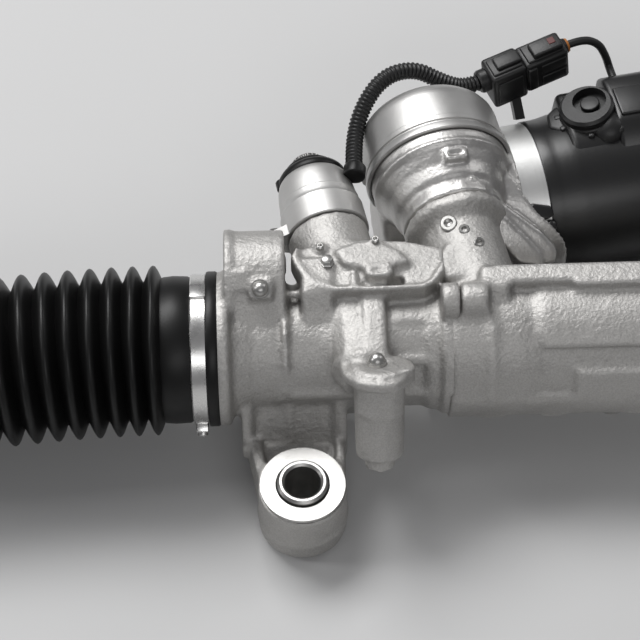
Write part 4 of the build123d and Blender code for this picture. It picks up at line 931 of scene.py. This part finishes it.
def controlPlug():
    # the round plug on the control box: ribbed skirt, ring and dark mouth
    place = frameAt((0.1305, 0.1575, 0.0655), (-0.22, 0.05, 0.97), rackAxis)
    skirt = bar(place, 0, 10, 13.4, 12.4, edge=1.4, sides=40)
    ring = carved(lathe(place, (0, 8), (11.4, 8), (11.8, 9), (11.8, 12.4), (10.6, 13.6), (0, 13.6), closed=False),
                  bar(moved(place, 1.5, 2), 9.6, 16, 7.4, edge=0.6))
    inner = bar(moved(place, 1.5, 2), 9, 12.2, 4.2, edge=0.6)
    ribs = []
    for turn in range(0, 360, 30):
        spoke = turned(place, turn)
        ribs.append(block(spoke, (11.4, -1.3, 1), (14.6, 1.3, 9), 0.6))
    lever = slab(place, [(-17.5, -5), (-13, -8), (-9, -8), (-9, 6), (-14, 7), (-18, 3)], 3.5, 8.6, 1.4)
    tab = slab(place, [(6, -15), (14, -13), (17.5, -6), (15, 4), (9, 4), (6, -8)], 1.5, 7.8, 1.4)
    grommet = ball(place, (7, -7, 4), 9, 0.8)
    piece = newPiece("controlPlug", joined(skirt, ring, inner, lever, tab, grommet, *ribs), "plastic", "housing",
                     angle=32)
    return standFor(piece, "ecu_socket")


def bellClip():
    # the small black clip on the bell and the stay under the connector
    place = frameAt(Vector(motorFrame @ Vector((0.0225, 0.0262, 0.0375))), (0.2, -0.55, 0.8), rackAxis)
    strap = slab(place, [(-6, 2), (-3, 5), (5, 4), (6.5, 0), (3, -2), (-2, -1), (-5, -4)], -2, 2.4, 0.8)
    pad = ball(place, (5.5, -4.5, 0.4), 2.6, 0.6)
    stay = nodeCopy("connector_clip")
    inward = motorFrame.inverted()
    middle = sum((inward @ vert.co).z for vert in stay.verts) / len(stay.verts)
    centred = Matrix.Translation((0, 0, middle))
    narrow = motorFrame @ centred @ Matrix.Diagonal((1, 1, 0.42, 1)) @ centred.inverted() @ inward
    bmesh.ops.transform(stay, matrix=narrow, verts=stay.verts)
    return housed("connectorStay", joined(stay, strap, pad), "paint", 30, "connector_clip")


motorPieces()
controlPlug()
bellClip()
print("motor made")

# Connector: the plug half with the conduit, the socket half with the lead
connector = dict(place=(0.085, 0.176, 0.076), along=(8.8, 3.4, 1.3), drop=(-1.2, -2.6), plug=(14, 19.5),
                 socket=(13, 17.5))


def connectorPieces():
    along = Vector(connector["along"]).normalized()
    place = frameAt(Vector(connector["place"]), along, up.cross(along))
    shifted = moved(place, *connector["drop"])
    wide, tall = (size / 2 for size in connector["plug"])
    boxes = (((-wide, -tall, 1), (wide, tall, 17.2), 1.6),
             ((-wide - 0.7, -tall + 3, 3), (-wide + 1, tall - 3.5, 15), 0.6),
             ((-wide + 2, tall - 1, 2.5), (wide - 2.5, tall + 0.9, 16), 0.6),
             ((-3.4, tall, 5), (3.4, tall + 2.6, 16.6), 0.8))
    neck = lathe(place, (0, -3), (4.6, -3), (5.2, -2), (5.2, 1), (6, 2), (0, 3), closed=False, steps=40)
    parts = [block(shifted, *box) for box in boxes] + [neck]
    housed("connectorPlug", joined(*parts), "plastic", 30, "connector_plug")
    wide, tall = (size / 2 for size in connector["socket"])
    boxes = (((-wide, -tall, 17), (wide, tall, 37.5), 1.6),
             ((-wide - 1.1, -tall + 2, 17.6), (-wide + 1, tall - 2, 22), 0.7),
             ((-wide - 0.7, -tall + 2.5, 24), (-wide + 1, -1, 36), 0.6),
             ((-wide - 0.7, 1, 24), (-wide + 1, tall - 2.5, 36), 0.6),
             ((-wide + 1.5, tall - 1, 19), (wide - 1.5, tall + 0.8, 36), 0.6),
             ((-4.6, tall, 22), (3.4, tall + 3.2, 36.2), 0.9))
    neck = lathe(place, (0, 36), (4, 37.4), (3.4, 39.4), (2.6, 39.6), (0, 39.6), closed=False, steps=32)
    parts = [block(shifted, *box) for box in boxes] + [neck]
    housed("connectorSocket", joined(*parts), "plastic", 30, "connector_socket")
    mark = block(shifted, (-1.8, tall + 3, 30.5), (1.6, tall + 3.5, 33.6), 0.2)
    markPiece = newPiece("lockMark", mark, "redMark", "housing", smooth=False)
    seal = lathe(place, (1.9, 38), (3.2, 38.2), (3.4, 39.2), (3.0, 40.4), (1.9, 40.8), steps=32)
    sealPiece = newPiece("wireSeal", seal, "amberSeal", "housing")


connectorPieces()
print("connector made")


# Cords
def millimetres(*points):
    return [tuple(value / 1000 for value in point) for point in points]


routeSamples = 24
ribSteps = 6  # rings to a rib
conduit = dict(
    route=millimetres((26, 126, 76), (26, 141, 76), (30, 156, 82), (40, 169, 88), (54, 175, 86), (66, 173, 79),
                      (76.2, 172.6, 74.7), (85, 176, 76)),
    diameter=0.0075, length=0.0973, ridge=0.00055, pitch=0.0018)


def conduitPiece():
    # ribbed split conduit: each rib is a rounded ridge
    places = routeLine(conduit["route"], routeSamples)
    lengths = [0.0]
    for first, second in zip(places, places[1:]):
        lengths.append(lengths[-1] + (second - first).length)
    steps = int(lengths[-1] / conduit["pitch"]) * ribSteps
    even = []
    for step in range(steps + 1):
        wanted = lengths[-1] * step / steps
        after = next((index for index, length in enumerate(lengths) if length >= wanted - 1e-9), len(lengths) - 1)
        after = max(after, 1)
        share = (wanted - lengths[after - 1]) / (lengths[after] - lengths[after - 1])
        even.append(places[after - 1].lerp(places[after], share))
    wave = [max(0.0, math.cos(math.tau * step / ribSteps)) ** 0.6 for step in range(steps + 1)]
    radii = [conduit["diameter"] / 2 - conduit["ridge"] * (1 - crest) for crest in wave]
    mesh = sweptMesh(lineFrames(even), radii, 24)
    piece = newPiece("harnessConduit", mesh, "sleeving", "housing", angle=60)
    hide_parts("harness_conduit")
    return piece


conduitPiece()

lead = dict(
    route=millimetres((120.115, 189.567, 81.187), (128.4, 192.77, 82.42), (136.5, 193.5, 79), (140.5, 191.5, 72),
                      (142.49, 189.14, 66), (144.13, 180.31, 66)),
    diameter=0.0036, length=0.0395)


def leadPiece():
    data = routeCurve("harnessLead", lead["route"], routeSamples)
    data.bevel_depth = lead["diameter"] / 2
    data.bevel_resolution = 6
    data.use_fill_caps = True
    piece = bpy.data.objects.new("harnessLead", data)
    scene.collection.objects.link(piece)
    data.materials.append(finishes["sleeving"])
    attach(piece, "housing")
    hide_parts("harness_lead")
    return piece


leadPiece()
print("cords laid")

# Boots
boot = dict(start=-0.055, neck=0.092, crest=0.0352, valley=0.0282, neckRadius=0.0098, wall=0.0013, folds=18, taper=6,
            steps=10, around=72, split=0.5)


def bootLine(share, ball, rodWay, mirror):
    start = Vector((ball.x + mirror * (boot["start"] - leftBall.x), ball.y, ball.z))
    neck = ball + rodWay * boot["neck"]
    return start * (1 - share) ** 2 + ball * 2 * share * (1 - share) + neck * share ** 2


def bootProfile():
    # (share of the line, radius) along the outside, from the cuff to the neck
    outline = []
    folds, steps = boot["folds"], boot["steps"]
    for step in range(folds * steps + 1):
        turn = step / steps
        share = turn / folds
        share = share * (0.8 + 0.2 * share)
        crest = boot["crest"]
        valley = boot["valley"]
        left = folds - boot["taper"]
        if turn > left:
            shrink = ((turn - left) / boot["taper"]) ** 1.5
            crest += (boot["neckRadius"] + 0.003 - crest) * shrink
            valley += (boot["neckRadius"] - valley) * shrink
        wave = (0.5 - 0.5 * math.cos(math.tau * turn)) ** 0.62
        outline.append((share, valley + (crest - valley) * wave))
    return outline


def bootPiece(name, ball, rodWay, mirror, low, high):
    outline = [(share, radius) for share, radius in bootProfile() if low <= share <= high]
    inner = [(share, radius - boot["wall"]) for share, radius in reversed(outline)]
    mesh = turnedMesh([(radius, share) for share, radius in outline + inner], boot["around"])
    for vert in mesh.verts:
        share = vert.co.z
        here = bootLine(share, ball, rodWay, mirror)
        ahead = bootLine(share + 0.002, ball, rodWay, mirror) - bootLine(share - 0.002, ball, rodWay, mirror)
        place = frameAt(here, ahead, up)
        vert.co = place @ Vector((vert.co.x, vert.co.y, 0))
    bmesh.ops.recalc_face_normals(mesh, faces=mesh.faces)
    piece = newPiece(name, mesh, "rubber", None, angle=80)
    return piece


for side, ball, mirror in (("left", leftBall, 1), ("right", rightBall, -1)):
    stud = jointPlace(side + "_stud_spin")
    rodWay = (stud - ball).normalized()
    start = bootLine(0, ball, rodWay, mirror)
    neck = bootLine(1, ball, rodWay, mirror)
    nearPart = bootPiece("bootNear" + side.title(), ball, rodWay, mirror, 0, boot["split"])
    farPart = bootPiece("bootFar" + side.title(), ball, rodWay, mirror, boot["split"] - 0.001, 1)
    middle = bootLine(boot["split"], ball, rodWay, mirror)
    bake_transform(nearPart, "housing", "rack", start=start, end=middle)
    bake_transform(farPart, "rack", side + "_rod", start=middle, end=neck)
    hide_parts("boot_" + side)
    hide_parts("boot_" + side)


# Cuffs and bands: the same at both ends
cuff = dict(line=((28.0, -57), (29.6, -56.6), (30.2, -55), (30.6, -51), (30.3, -45), (29.7, -44), (29.7, -37.5),
                  (31.8, -37.3), (32.1, -36.6), (32.1, -33.6), (31.6, -32.8), (31.25, -32.8), (31.25, -36.95),
                  (27.55, -36.95), (27.55, -52.1), (27.4, -57)),
            band=((29.75, -43.8), (30.5, -43.8), (30.95, -43.3), (30.95, -37.7), (30.5, -37.2), (29.75, -37.2)))


def cuffPieces(side, place):
    rubber = newPiece("bootCuff" + side.title(), lathe(place, *cuff["line"], steps=144), "rubber", "housing", angle=50)
    band = lathe(place, *cuff["band"], steps=144)
    low = frameAt(place @ Vector((-0.0252, -0.018, -0.0405)), Vector((0, -0.814, -0.58)), rackAxis)
    lug = block(low, (-2.6, -3.2, -1), (2.6, 3.2, 3.4), 0.6)
    screw = screwHead(moved(low, 0, 0, 3), 2.2, 2)
    high = frameAt(place @ Vector((0.0075, 0.0303, -0.0405)), Vector((0, 0.24, 0.97)), rackAxis)
    lap = block(high, (-3.2, -4, -1), (3.2, 4, 0.7), 0.25)
    return housed("bootBand" + side.title(), joined(band, lug, screw, lap), "bright", 30, "boot_clamp_" + side)


cuffPieces("left", sectionFrame)
cuffPieces("right", frameAt((0.368, rackLine.y, rackLine.z), -rackAxis, Vector((0, 1, 0))))
print("boots made")

# Floor and light
floor = dict(size=3.2, height=-0.0005)
mesh = bmesh.new()
bmesh.ops.create_grid(mesh, x_segments=1, y_segments=1, size=floor["size"] / 2,
                      matrix=Matrix.Translation((0.1, 0.3, floor["height"])))
finishes["backdrop"] = greyBackdrop("paleFloor")
floorPiece = newPiece("studioFloor", mesh, "backdrop", None, smooth=False)

world = bpy.data.worlds.new("studioAir")
scene.world = world
world.use_nodes = True
world.node_tree.nodes["Background"].inputs["Color"].default_value = (0.17, 0.17, 0.175, 1)
world.node_tree.nodes["Background"].inputs["Strength"].default_value = 1.0


def softbox(name, place, target, size, energy):
    data = bpy.data.lights.new(name, "AREA")
    data.shape = "RECTANGLE"
    data.size, data.size_y = size
    data.energy = energy
    lamp = bpy.data.objects.new(name, data)
    lamp.location = place
    lamp.rotation_euler = (Vector(target) - Vector(place)).to_track_quat("-Z", "Y").to_euler()
    scene.collection.objects.link(lamp)


softbox("keyBack", (-0.6, 1.1, 1.8), (0.05, 0, 0), (1.3, 0.9), 40)
softbox("leftSide", (-1.3, 0.1, 0.9), (0, 0.06, 0.05), (0.3, 0.9), 4)
softbox("rightBack", (1.5, 1.0, 1.2), (0.1, 0.06, 0.05), (0.4, 0.9), 4)
softbox("frontTop", (0.35, -1.7, 1.5), (0.05, 0, 0), (1.6, 0.7), 9)
print("studio lit")
